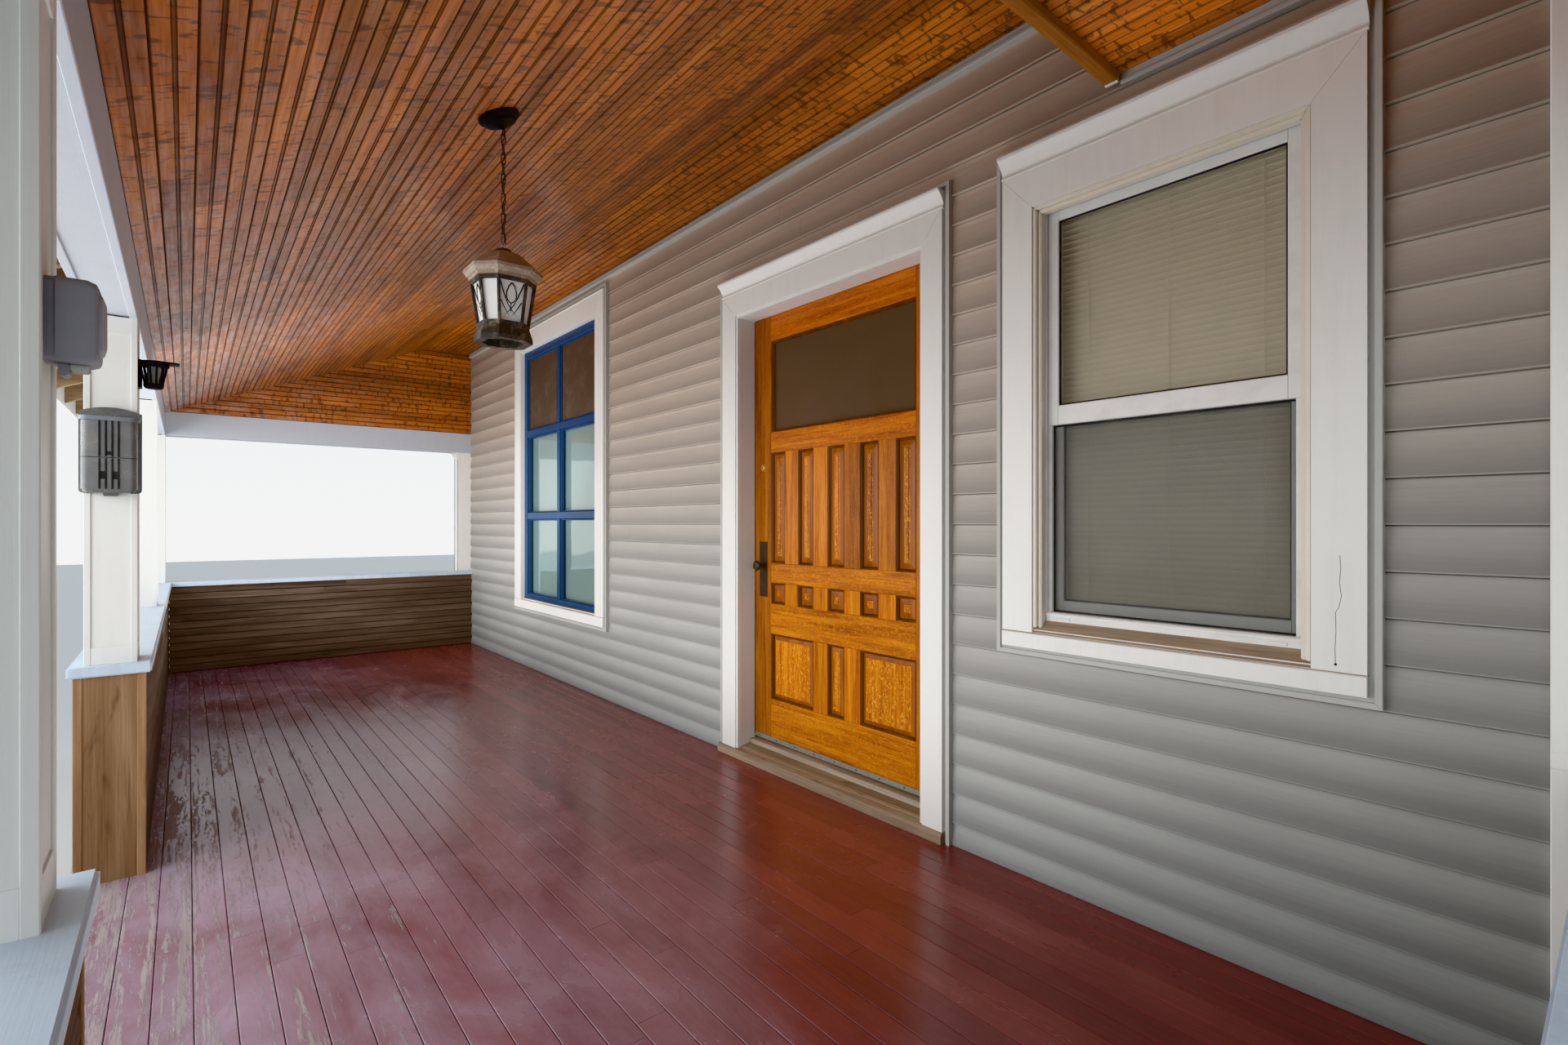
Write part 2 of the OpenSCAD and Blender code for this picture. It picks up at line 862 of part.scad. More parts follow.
// Outer edges of the windows' casings, and their sills' front edges
win_casing_u = win_u + [casing_lap - win_casing_w, win_casing_w - casing_lap];
win_casing_top = win_z[1] - casing_lap + win_head_w;
win_stool_z = [win_z[0] - stool_under - stool_d, win_z[0] - stool_under];
blue_casing_u = blue_u + [-blue_casing_w, blue_casing_w];
blue_casing_top = blue_z[1] + blue_head_w;
blue_stool_z = [blue_z[0] + blue_stool_up - blue_stool_d, blue_z[0] + blue_stool_up];

// Lapped siding: one tooth for each course
function lap_depth(low, h) = cent(v_sheath - lap_t + (lap_t - lap_thin) * (h - low) / lap);
function siding_points() =
    let (count = ceil((flat_h - lap_first) / lap))
    concat(
        [for (i = [-1 : count - 1])
            let (low = lap_first + i * lap, bottom = max(0, low), top = min(flat_h, low + lap))
            each [[lap_depth(low, bottom), cent(z(bottom))], [lap_depth(low, top), cent(z(top))]]],
        [[v_sheath, z(flat_h)], [v_sheath, deck_top]]
    );

// Channel round an opening, as a block that the opening is cut from
module channel(u, z) {
    block(u + [-channel_w, channel_w], [v_channel, v_sheath], [z[0], z[1] + channel_w]);
}

// Ends of the half walls where they stand against the house
module wall_ends(v) {
    both_ends() {
        block([0, rail_t], v, wall_z);
        block([0, rail_t + cap_over], v, cap_z);
    }
}

module siding() {
    through = [v_channel - channel_out, v_sheath + lap_t];
    color("silver")
        difference() {
            union() {
                run(ceiling_u) polygon(siding_points());
                block(ceiling_u, [porch_depth, v_sheath], [deck_top, z(base_strip)]);
                block([drop_end, ceiling_u[1]], [v_channel, v_sheath],
                      [z(flat_h - top_channel), z(flat_h)]);
                block([ceiling_u[0], drop_end - batten_w], [v_channel, v_sheath],
                      [z(drop_h - top_channel), z(drop_h)]);
                channel(door_casing_u, [deck_top, door_casing_top + crown_d]);
                channel(win_casing_u, [win_stool_z[0] - channel_w, win_casing_top + crown_d]);
                channel(blue_casing_u, [blue_stool_z[0] - channel_w, blue_casing_top]);
            }
            wall_ends(through);
            block([0, beam_in + corner_w], through, [0, z(drop_h)]);
            block(door_casing_u, through, [0, door_casing_top]);
            run(door_sill_u) sill_section();
            crown(door_casing_u, door_casing_top);
            block(win_casing_u, through, [win_stool_z[0], win_casing_top]);
            crown(win_casing_u, win_casing_top);
            block(blue_casing_u, through, [blue_stool_z[0], blue_casing_top]);
        }
}

// Upright board that closes the siding at the porch's near end
module corner_board() {
    color("white")
        difference() {
            block([beam_in, beam_in + corner_w], [v_sheath - corner_t, v_sheath],
                  [deck_top, z(drop_h)]);
            wall_ends([0, v_back]);
        }
}

// Crown over a head casing: a bead, then a board that leans outwards to a fillet
module crown(u, low) {
    high = low + crown_d;
    run(u + [-crown_side, crown_side])
        polygon([[v_sheath, low], [v_casing, low], [v_casing, low + crown_bead],
                 [v_casing + crown_set, low + crown_bead],
                 [v_casing + crown_set, low + crown_bead + crown_set],
                 [v_casing - crown_out + crown_set, high - crown_lip],
                 [v_casing - crown_out, high - crown_lip],
                 [v_casing - crown_out, high], [v_sheath, high]]);
}

// Two legs and a head round an opening
module arch(outer_u, outer_top, in_u, in_top) {
    difference() {
        pane(outer_u, [deck_top, outer_top]);
        pane(in_u, [0, in_top]);
    }
}

module door_casing() {
    color("white") {
        difference() {
            union() {
                elevation([v_casing, v_sheath])
                    arch(door_casing_u, door_casing_top, inner_u, inner_top);
                elevation(strip_v)
                    arch(inner_u, inner_top, open_u, open_top);
            }
            run(door_sill_u) sill_section();
        }
        crown(door_casing_u, door_casing_top);
    }
}

// Door frame, rebated for the leaf, and the wooden sill that slopes outwards
module door_frame() {
    rebate_v = leaf_v[0] - stop_gap;
    color("white")
        difference() {
            union() {
                elevation([strip_v[1], v_sheath])
                    arch(inner_u, inner_top, open_u, open_top);
                elevation([v_sheath, rebate_v])
                    arch(door_rough, door_rough_top, open_u, open_top);
                elevation([rebate_v, v_back])
                    arch(door_rough, door_rough_top,
                         [door_at, door_at + door_w], z(door_head_h));
            }
            run(door_sill_u) sill_section();
        }
}

module sill_section() {
    front = v_casing - sill_out;
    ledge = leaf_v[0] - stop_gap - sill_ledge;
    polygon([[front, deck_top], [v_back, deck_top], [v_back, z(sill_h)], [ledge, z(sill_h)],
             [ledge, z(sill_h - sill_step)], [front, z(sill_edge)]]);
}

module door_sill() {
    color("tan")
        intersection() {
            run(door_sill_u) sill_section();
            union() {
                block(door_sill_u, [0, v_sheath], [0, wall_top]);
                block(door_rough, [0, v_back], [0, wall_top]);
            }
        }
}

// Door leaf: stiles, rails and muntins in one, with an opening for each panel
leaf_u = [door_at + leaf_gap, door_at + door_w - leaf_gap];
leaf_z = [z(sill_h) + leaf_rise, z(door_head_h) - leaf_rise];
leaf_middle = (leaf_v[0] + leaf_v[1]) / 2;
panel_w = (leaf_u[1] - leaf_u[0] - stile_w - lock_stile - 4 * muntin_w) / 5;
low_z = leaf_z[0] + bottom_rail;
square_z = low_z + low_len + third_rail;
tall_z = square_z + square_len + second_rail;
lite_z = tall_z + tall_len + mid_rail;
lite_u = [column(0), column(4) + panel_w];
function column(i) = leaf_u[0] + stile_w + i * (panel_w + muntin_w);
function cell(first, last, low, height) =
    [column(first), column(last) + panel_w, low, low + height];
cells = concat(
    [for (i = [0 : 4]) cell(i, i, tall_z, tall_len)],
    [for (i = [0 : 4]) cell(i, i, square_z, square_len)],
    [cell(0, 1, low_z, low_len), cell(2, 2, low_z, low_len), cell(3, 4, low_z, low_len)]
);

module door_leaf() {
    color("peru")
        elevation(leaf_v)
            difference() {
                pane(leaf_u, leaf_z);
                for (c = cells) pane([c[0], c[1]], [c[2], c[3]]);
                pane(lite_u, [lite_z, lite_z + lite_len]);
            }
}

// Block whose top is smaller than its foot on all four sides
module bevelled(width, height, inset, rise) {
    x = width / 2;
    y = height / 2;
    polyhedron(
        points = [[-x, -y, 0], [x, -y, 0], [x, y, 0], [-x, y, 0],
                  [inset - x, inset - y, rise], [x - inset, inset - y, rise],
                  [x - inset, y - inset, rise], [inset - x, y - inset, rise]],
        faces = [[0, 1, 2, 3], [4, 7, 6, 5], [0, 4, 5, 1],
                 [1, 5, 6, 2], [2, 6, 7, 3], [3, 7, 4, 0]]);
}

// Panel with a bevelled field raised on both sides
module panel(c) {
    block([c[0], c[1]], [leaf_middle - panel_t / 2, leaf_middle + panel_t / 2], [c[2], c[3]]);
    translate([along((c[0] + c[1]) / 2), y_front + leaf_middle, (c[2] + c[3]) / 2])
        for (side = [90, -90])
            rotate([side, 0, 0])
                translate([0, 0, panel_t / 2])
                    bevelled(c[1] - c[0] - field_in, c[3] - c[2] - field_in, field_in, field_t);
}

module door_panels() {
    color("sandybrown")
        for (c = cells) panel(c);
}

module door_glass() {
    color("slategray", 0.5)
        block(lite_u, [leaf_middle - glass_t / 2, leaf_middle + glass_t / 2],
              [lite_z, lite_z + lite_len]);
}

// Knob turned about its own axis, with its neck towards the leaf
module knob() {
    rotate_extrude()
        polygon(concat(
            [[0, 0], [neck_r * 1.5, 0], [neck_r, neck_r / 2], [neck_r, knob_out - knob_r]],
            [for (a = [-60 : 15 : 75])
                [knob_r * cos(a), knob_out - knob_r / 2 + knob_r / 2 * sin(a)]],
            [[0, knob_out]]));
}

module door_lock() {
    centre_u = leaf_u[1] - backset;
    middle = z(knob_h - plate_drop);
    color("darkslategray")
        for (side = [0, 1]) {
            face = leaf_v[side];
            outer = side == 0 ? face - plate_t : face + plate_t;
            block([centre_u - plate_w / 2, centre_u + plate_w / 2],
                  [min(face, outer), max(face, outer)],
                  [middle - plate_len / 2, middle + plate_len / 2]);
            translate([along(centre_u), y_front + outer, z(knob_h)])
                rotate([side == 0 ? 90 : -90, 0, 0])
                    knob();
        }
}

// Hinges: the lower knuckle and the pin stay on the jamb, the upper one turns
hinge_u = door_at + leaf_gap / 2;
hinge_v = v_back + hinge_out;
knuckle_r = pin_r + knuckle_wall;
hinge_at = [leaf_z[0] + hinge_end, (leaf_z[0] + leaf_z[1] - hinge_len) / 2,
            leaf_z[1] - hinge_end - hinge_len];

// Plate of one hinge half, cut back where the other half's knuckle turns
module hinge_plate_half(u, z, knuckle_z) {
    back = leaf_v[1] - hinge_w;
    block(u, [back, hinge_v - knuckle_r - hinge_gap], z);
    block(u, [back, hinge_v], knuckle_z);
}

module jamb_hinges() {
    color("darkslategray")
        for (low = hinge_at) {
            half = low + hinge_len / 2;
            hinge_plate_half([door_at, door_at + hinge_plate], [low, low + hinge_len],
                             [low, half - hinge_gap]);
            translate([along(hinge_u), y_front + hinge_v, low]) {
                cylinder(h = hinge_len / 2 - hinge_gap, r = knuckle_r);
                cylinder(h = hinge_len + pin_head, r = pin_r);
            }
        }
}

module door_hinges() {
    color("darkslategray")
        for (low = hinge_at) {
            half = low + hinge_len / 2;
            difference() {
                union() {
                    hinge_plate_half([leaf_u[0] - hinge_plate, leaf_u[0]],
                                     [low, low + hinge_len], [half, low + hinge_len]);
                    translate([along(hinge_u), y_front + hinge_v, half])
                        cylinder(h = hinge_len / 2, r = knuckle_r);
                }
                translate([along(hinge_u), y_front + hinge_v, low])
                    cylinder(h = 2 * hinge_len, r = pin_r + pin_play);
            }
        }
}

// Sill of a window: its top rises from the front edge to the sheathing
module stool(u, z) {
    front = v_casing - stool_out;
    run(u)
        polygon([[front, z[0]], [v_sheath, z[0]], [v_sheath, z[1] + stool_rise], [front, z[1]]]);
}

// Casing whose legs stand on its sill
module window_surround(outer_u, outer_top, in_u, in_top, stool_z) {
    difference() {
        elevation([v_casing, v_sheath])
            difference() {
                pane(outer_u, [stool_z[0], outer_top]);
                pane(in_u, [0, in_top]);
            }
        stool(outer_u, stool_z);
    }
    stool(outer_u, stool_z);
}

// White double-hung window
module window_casing() {
    color("white") {
        window_surround(win_casing_u, win_casing_top, win_u + [casing_lap, -casing_lap],
                        win_z[1] - casing_lap, win_stool_z);
        crown(win_casing_u, win_casing_top);
    }
}

// Ring of members: the two sides, the head and the foot have their own widths
module ring(u, z, side, head, foot) {
    difference() {
        pane(u, z);
        pane(u + [side, -side], z + [foot, -head]);
    }
}

sash_u = win_u + [win_bar, -win_bar];
upper_z = [z(meet_h) - meet_bar / 2, win_z[1] - win_head_bar];
lower_z = [win_z[0] + win_foot_bar, z(meet_h) + meet_bar / 2];
upper_v = [v_sheath + sash_in, v_sheath + sash_in + sash_d];
lower_v = [upper_v[1], upper_v[1] + sash_d];

module window_frame() {
    color("white") {
        elevation([v_sheath, v_sheath + win_d])
            ring(win_u, win_z, win_bar, win_head_bar, win_foot_bar);
        elevation(upper_v) ring(sash_u, upper_z, sash_bar, sash_bar, meet_bar);
        elevation(lower_v) ring(sash_u, lower_z, sash_bar, meet_bar, sash_bar);
    }
}

// Pane of glass in the middle of a sash
module sash_glass(z, v) {
    middle = (v[0] + v[1]) / 2;
    block(sash_u + [sash_bar, -sash_bar], [middle - glass_t / 2, middle + glass_t / 2], z);
}

module window_glass() {
    color("lightsteelblue", 0.5) {
        sash_glass(upper_z + [meet_bar, -sash_bar], upper_v);
        sash_glass(lower_z + [sash_bar, -meet_bar], lower_v);
    }
}

module window_blind() {
    color("lightgray")
        block(sash_u, [v_sheath + win_d - blind_t, v_sheath + win_d],
              win_z + [win_foot_bar, -win_head_bar]);
}

// Blue window of two columns and three rows
blue_v = [v_sheath - blue_out, v_sheath - blue_out + blue_d];

module blue_window_casing() {
    color("white")
        difference() {
            window_surround(blue_casing_u, blue_casing_top, blue_u, blue_z[1], blue_stool_z);
            block(blue_u, [blue_v[0], v_back], blue_z);
        }
}

module blue_window_frame() {
    middle = (blue_u[0] + blue_u[1]) / 2;
    color("midnightblue")
        elevation(blue_v) {
            ring(blue_u, blue_z, blue_bar, blue_bar, blue_bar);
            pane([middle - blue_muntin / 2, middle + blue_muntin / 2],
                 blue_z + [blue_bar, -blue_bar]);
            for (h = [blue_low_rail, blue_high_rail])
                pane(blue_u + [blue_bar, -blue_bar],
                     [z(h) - blue_cross / 2, z(h) + blue_cross / 2]);
        }
}

module blue_window_glass() {
    color("lightsteelblue", 0.5)
        block(blue_u, [blue_v[1], blue_v[1] + glass_t], blue_z);
}

// Hanging lantern: its canopy is square to the sloped ceiling
canopy_v = lamp_v - canopy_t * sin(pitch);
canopy_z = ceiling_z(canopy_v) - canopy_gap;
tip_z = canopy_z - canopy_t * cos(pitch);

// Chain: heights of the wire's middle at the lowest and the highest hook
hook_low = z(lamp_top_h) - link_wire / 2;
hook_high = tip_z - 2 * hook_r;
link_hold = link_wire + link_play;
link_count = round((hook_high - hook_low + link_hold) / (link_len + 2 * link_bend - link_hold));
link_step = (hook_high - hook_low + link_hold) / link_count;

module at_lamp(height) {
    translate([along(lamp_at), y_front + lamp_v, height]) children();
}

// Upright ring of the chain's wire around its centre
module hook() {
    rotate([90, 0, 0])
        rotate_extrude()
            translate([hook_r, 0]) circle(link_wire / 2);
}

module lantern_canopy() {
    r = canopy_d / 2;
    t = canopy_t;
    color("black") {
        translate([along(lamp_at), y_front + canopy_v, canopy_z])
            rotate([pitch, 0, 0])
                mirror([0, 0, 1])
                    rotate_extrude()
                        polygon([[0, 0], [r, 0], [r, t * 0.25], [r * 0.8, t * 0.42],
                                 [r * 0.72, t * 0.62], [r * 0.3, t * 0.82], [link_wire, t],
                                 [0, t]]);
        at_lamp(tip_z - hook_r)
            rotate(link_count % 2 == 0 ? 90 : 0) hook();
    }
}

// Oval link in the plane of its own ends, with its lowest wire at the origin
module link(straight) {
    translate([0, 0, link_bend]) {
        for (side = [-1, 1])
            translate([side * link_bend, 0, 0])
                cylinder(h = straight, r = link_wire / 2);
        for (end = [0, 1])
            translate([0, 0, end * straight])
                rotate([90, end == 0 ? 180 : 0, 0])
                    rotate_extrude(angle = 180)
                        translate([link_bend, 0]) circle(link_wire / 2);
    }
}

module lantern_chain() {
    color("black")
        at_lamp(hook_low - link_hold)
            for (i = [0 : link_count - 1])
                translate([0, 0, i * link_step])
                    rotate((i + 1) % 2 * 90)
                        link(link_step + link_hold - 2 * link_bend);
}

// Eight-sided outline with four broad and four narrow sides
function octagon(width) =
    let (half = width / 2 / norm([1, lamp_cut]), cut = half * lamp_cut)
    [[half, -cut], [half, cut], [cut, half], [-cut, half],
     [-half, cut], [-half, -cut], [-cut, -half], [cut, -half]];

module tapered(height, low_w, high_w) {
    linear_extrude(height, scale = high_w / low_w)
        polygon(octagon(low_w));
}

// Openings of the glass body through its opposite sides, which widen upwards
module side_openings(half_foot) {
    tall = lamp_body_d - 2 * lamp_band;
    widen = lamp_body_w / lamp_foot_w;
    broad = 2 * half_foot * lamp_cut - lamp_bar;
    narrow = half_foot * (1 - lamp_cut) * sqrt(2) - lamp_bar;
    for (turn = [0 : 45 : 135])
        rotate(turn)
            translate([0, 0, lamp_band])
                linear_extrude(tall, scale = widen)
                    square([2 * lamp_body_w, turn % 90 == 0 ? broad : narrow], center = true);
}

// Base ring and the eight corner bars
module lantern_cage() {
    wall = 2 * lamp_bar;
    color("black")
        at_lamp(z(lamp_low_h)) {
            difference() {
                union() {
                    tapered(lamp_lip, lamp_base_w, lamp_base_w);
                    translate([0, 0, lamp_lip])
                        tapered(lamp_base_d - lamp_lip, lamp_base_w, lamp_foot_w);
                }
                translate([0, 0, -1])
                    tapered(lamp_base_d + 2, lamp_hole_w, lamp_hole_w);
            }
            translate([0, 0, lamp_base_d])
                difference() {
                    tapered(lamp_body_d, lamp_foot_w, lamp_body_w);
                    tapered(lamp_body_d, lamp_foot_w - wall, lamp_body_w - wall);
                    side_openings(lamp_foot_w / 2 / norm([1, lamp_cut]));
                }
        }
}

module lantern_glass() {
    inset = 2 * (lamp_bar + lamp_gap);
    inner = inset + 2 * lamp_glass;
    color("white", 0.6)
        at_lamp(z(lamp_low_h) + lamp_base_d)
            difference() {
                tapered(lamp_body_d, lamp_foot_w - inset, lamp_body_w - inset);
                tapered(lamp_body_d, lamp_foot_w - inner, lamp_body_w - inner);
            }
}

// Tiers of the lantern's roof from its underside up: height, width below, width above
tiers = [[10, 206, 206], [12, 218, 232], [10, 238, 238], [18, 236, 196], [30, 196, 130],
         [16, 130, 60]];
function tier_low(i) = i == 0 ? 0 : tier_low(i - 1) + tiers[i - 1][0];

module lantern_roof() {
    low = z(lamp_low_h) + lamp_base_d + lamp_body_d;
    color("black") {
        for (i = [0 : len(tiers) - 1])
            at_lamp(low + tier_low(i)) tapered(tiers[i][0], tiers[i][1], tiers[i][2]);
        at_lamp(low + tier_low(len(tiers)))
            cylinder(h = hook_low - 2 * hook_r - low - tier_low(len(tiers)), r = finial_r);
        at_lamp(hook_low - hook_r) hook();
    }
}

// Sensor on the inner face of the near stair post
module sensor_box() {
    base = sensor_d - sensor_bevel;
    color("dimgray")
        translate([along(stair_post_near + post_w / 2), y_front + beam_in - strip_t,
                   z(sensor_low_h) + sensor_len / 2])
            rotate([-90, 0, 0]) {
                translate([-sensor_w / 2, -sensor_len / 2, 0])
                    cube([sensor_w, sensor_len, base]);
                translate([0, 0, base])
                    bevelled(sensor_w, sensor_len, sensor_bevel, sensor_bevel);
            }
}

// Plan of the letter box, shrunk by a wall: across and outwards from its back
module box_plan(shrink) {
    half = box_w / 2 - box_side - shrink;
    round_r = box_round - shrink;
    polygon(concat(
        [[-half, 0], [half, 0]],
        [for (a = [0 : 15 : 90])
            [half - round_r + round_r * cos(a), box_d - shrink - round_r + round_r * sin(a)]],
        [for (a = [90 : 15 : 180])
            [round_r - half + round_r * cos(a), box_d - shrink - round_r + round_r * sin(a)]]));
}

// Upright part of the letter box between two heights
module box_part(low, high, shrink) {
    translate([0, high, 0])
        rotate([90, 0, 0])
            linear_extrude(high - low)
                box_plan(shrink);
}

// Open letter box on the near face of the far stair post
module letter_box() {
    top = box_len - box_arch;
    color("dimgray")
        translate([along(stair_post_far), y_front + post_in + post_w / 2, z(box_low_h)])
            rotate([90, 0, 90]) {
                linear_extrude(box_back) {
                    polygon(concat(
                        [[-box_w / 2, 0], [box_w / 2, 0]],
                        [for (x = [1 : -0.125 : -1])
                            [x * box_w / 2, top + box_arch * (1 - x * x)]]));
                    translate([-tab_w / 2, -tab_d]) square([tab_w, 2 * tab_d]);
                }
                difference() {
                    union() {
                        box_part(0, top - box_drop - box_lip, box_lip_out);
                        box_part(top - box_drop - box_lip, top - box_drop, 0);
                        for (i = [0 : 3])
                            translate([(i - 1.5) * rib_pitch - rib_w / 2, 0, 0])
                                cube([rib_w, top - box_drop - box_lip, box_d - box_lip_out + rib_t]);
                    }
                    box_part(box_wall, box_len, box_lip_out + box_wall);
                    difference() {
                        box_part(box_split, box_split + box_groove, -1);
                        box_part(box_split, box_split + box_groove, box_lip_out + box_groove);
                    }
                    for (side = [-1, 1])
                        translate([side * rib_pitch - slot_w / 2, (box_split - slot_len) / 2,
                                   box_d - box_lip_out - box_groove])
                            cube([slot_w, slot_len, 2 * box_groove]);
                }
            }
}

// Lamp in a slotted cup on the inner face of the far stair post
module cage_lamp() {
    slabs = 6;
    r = cage_w / 2;
    foot_r = cage_foot_w / 2;
    high = cage_len - cage_lid;
    slot = PI * foot_r / slabs - cage_bar;
    rim_r = r - cage_rim;
    color("black")
        translate([along(stair_post_far + post_w / 2), y_front + beam_in - strip_t,
                   z(beam_h - cage_drop - cage_len)]) {
            translate([-foot_r, 0, 0]) cube([2 * foot_r, cage_plate, cage_len]);
            translate([0, r, 0]) {
                difference() {
                    rotate_extrude()
                        polygon([[0, 0], [foot_r - cage_round, 0], [foot_r, cage_round],
                                 [rim_r, high], [r, high], [r, cage_len], [0, cage_len]]);
                    difference() {
                        for (i = [0 : slabs - 1])
                            rotate(i * 180 / slabs)
                                translate([-r, -slot / 2, cage_lid])
                                    cube([2 * r, slot, high - 2 * cage_lid]);
                        cylinder(h = cage_len, r = cage_glass_w / 2);
                    }
                }
                translate([0, 0, cage_len - cage_visor_t])
                    linear_extrude(cage_visor_t)
                        polygon([[-rim_r, 0], [rim_r, 0],
                                 [rim_r / 2, r + cage_visor], [-rim_r / 2, r + cage_visor]]);
            }
        }
}

foundation();
piers();
rim_beam();
floor_joists();
deck();
skirt();
stringers();
risers();
stair_treads();
front_half_walls();
end_half_walls();
front_caps();
end_caps();
posts();
pilasters();
front_beam();
end_beams();
gable_panels();
ceiling_slope();
ceiling_flat();
ceiling_drop();
rafters();
roof_deck();
fascia();
rake_boards();
wall_near();
wall_far();
wall_over_door();
siding();
corner_board();
door_casing();
door_frame();
door_sill();
jamb_hinges();
door_leaf();
door_panels();
door_glass();
door_lock();
door_hinges();
window_casing();
window_frame();
window_glass();
window_blind();
blue_window_casing();
blue_window_frame();
blue_window_glass();
lantern_canopy();
lantern_chain();
lantern_roof();
lantern_cage();
lantern_glass();
sensor_box();
letter_box();
cage_lamp();
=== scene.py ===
"""Front porch with its strip of house wall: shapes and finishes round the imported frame."""
import math
import random

import bmesh
import bpy
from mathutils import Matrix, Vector

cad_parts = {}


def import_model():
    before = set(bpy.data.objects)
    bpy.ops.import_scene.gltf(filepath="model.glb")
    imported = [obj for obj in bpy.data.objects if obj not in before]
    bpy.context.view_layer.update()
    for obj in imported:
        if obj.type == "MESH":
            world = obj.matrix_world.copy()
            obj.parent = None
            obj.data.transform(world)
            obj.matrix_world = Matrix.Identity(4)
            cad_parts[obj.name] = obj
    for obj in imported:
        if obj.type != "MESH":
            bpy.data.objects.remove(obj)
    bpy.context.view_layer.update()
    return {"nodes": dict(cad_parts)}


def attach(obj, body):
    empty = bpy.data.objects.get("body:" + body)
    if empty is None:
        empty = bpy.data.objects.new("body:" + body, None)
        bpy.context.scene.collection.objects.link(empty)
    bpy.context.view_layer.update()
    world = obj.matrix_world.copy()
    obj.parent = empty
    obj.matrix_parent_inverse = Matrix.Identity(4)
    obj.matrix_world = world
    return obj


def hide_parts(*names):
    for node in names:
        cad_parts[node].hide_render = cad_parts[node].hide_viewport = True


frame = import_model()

RANDOM = random.Random(7)

# Sizes in millimetres, as in the part's source: u runs from the porch's near end along
# the wall, v from its open front towards the house, h up from the deck
LENGTH, FRONT, DECK, DECK_T = 8060, -1073.5, 570, 22
PITCH = math.radians(22.85)
COS, TAN = math.cos(PITCH), math.tan(PITCH)
V_CASING, V_CHANNEL, V_LAP, V_SHEATH, V_BACK = 2521, 2528, 2546, 2566, 2696
POST_W, POST_IN = 138, 24
BEAM_IN = POST_IN + POST_W
BEAM_V = (POST_IN, BEAM_IN)
POSTS = (24, 1356, 3550, 5748, 7898)
STAIR = (1529, 3515)
RAIL_T, RAIL_H, CAP_T, CAP_OVER = 186, 745, 35, 15
RAIL_TOP = RAIL_H - CAP_T
BEAM_H, BEAM_D = 1955, 185
FLAT_H, DROP_H, DROP_END = 2974, 2640, 1228
CEILING = (BEAM_IN, LENGTH - BEAM_IN)
CORNER = (BEAM_IN, BEAM_IN + 105)
BOARD_T, RAFTER_D, RIM_D = 12, 140, 184
TILTED_T = BOARD_T / COS
SKIRT_TOP = -DECK_T - RIM_D
LAP, LAP_FIRST, CHANNEL_W = 114.3, 85.6, 28
# Openings: u range, then heights; OUT is the outer edge of the casing
DOOR, DOOR_IN, DOOR_IN_TOP = (1966, 3209), (1962, 3213), 2329
DOOR_OUT, DOOR_OUT_TOP, SILL_U = (1864, 3332), 2442, (1861, 3358)
WIN, WIN_H, WIN_SILL = (663, 1509), (871, 2344), (804, 855)
WIN_OUT, WIN_OUT_TOP = (574, 1598), 2446
BLUE, BLUE_H, BLUE_SILL = (4913, 6382), (562, 2708), (507, 572)
BLUE_OUT, BLUE_OUT_TOP = (4775, 6520), 2873
CROWN_D, GLASS_T = 72, 6
# Door leaf and the rows in it
LEAF, LEAF_H, LEAF_V = (1973, 3202), (93, 2318), (V_BACK - 50, V_BACK - 5)
MUNTIN, STILE, LOCK_STILE = 103, 122, 137
PANEL_W = (LEAF[1] - LEAF[0] - STILE - LOCK_STILE - 4 * MUNTIN) / 5
LOW_ROW, SQUARE_ROW, TALL_ROW, LITE = (315, 656), (813, 922), (1025, 1601), (1709, 2185)


def world(u, v, h):
    return ((LENGTH / 2 - u) / 1000, (FRONT + v) / 1000, (DECK + h) / 1000)


def ceiling_h(v):
    return BEAM_H + BEAM_D + TAN * (v - BEAM_IN)


def ceiling_v(h):
    return BEAM_IN + (h - BEAM_H - BEAM_D) / TAN


def inset(span, by):
    return (span[0] + by, span[1] - by)


def about(middle, half):
    return (middle - half, middle + half)


def ends(span, width):
    """The two strips of one width at the ends of a span."""
    return ((span[0], span[0] + width), (span[1] - width, span[1]))


def both(span):
    """A span from the near end, and its mirror at the far end."""
    return (span, (LENGTH - span[1], LENGTH - span[0]))


def at(span, t):
    return span[0] + t * (span[1] - span[0])


def strips(span, width, gap):
    """Strips of about one width that divide a span evenly, with a gap round each."""
    count = round((span[1] - span[0]) / width)
    step = (span[1] - span[0]) / count
    return [inset((span[0] + i * step, span[0] + (i + 1) * step), gap) for i in range(count)]


def turned(x, y, t, out, across=0.0):
    """Point at a distance from a centre in the direction of an angle, and to the side."""
    return (x + out * math.cos(t) - across * math.sin(t), y + out * math.sin(t) + across * math.cos(t))


def arc(x, y, r, start, count):
    """Points of a quarter circle from an angle in degrees."""
    return [turned(x, y, math.radians(start + 90 * k / count), r) for k in range(count + 1)]


def circle(r, count):
    return [turned(0, 0, 2 * math.pi * k / count, r) for k in range(count)]


def mirrored(left, total):
    """Outline from its left half and the sum of the two sides' places."""
    return left + [(total - x, y) for x, y in reversed(left)]


def shifted(x, y, *spots):
    """Outline from places relative to one point."""
    return [(x + a, y + b) for a, b in spots]


def lifted(axis, along, spots):
    """Points from their places in two axes; along is a number, or a function of the place."""
    k = "uvh".index(axis)
    return [(*spot[:k], along(spot) if callable(along) else along, *spot[k:]) for spot in spots]


def behind(start, end):
    """Range of v measured from the sheathing."""
    return (V_SHEATH + start, V_SHEATH + end)


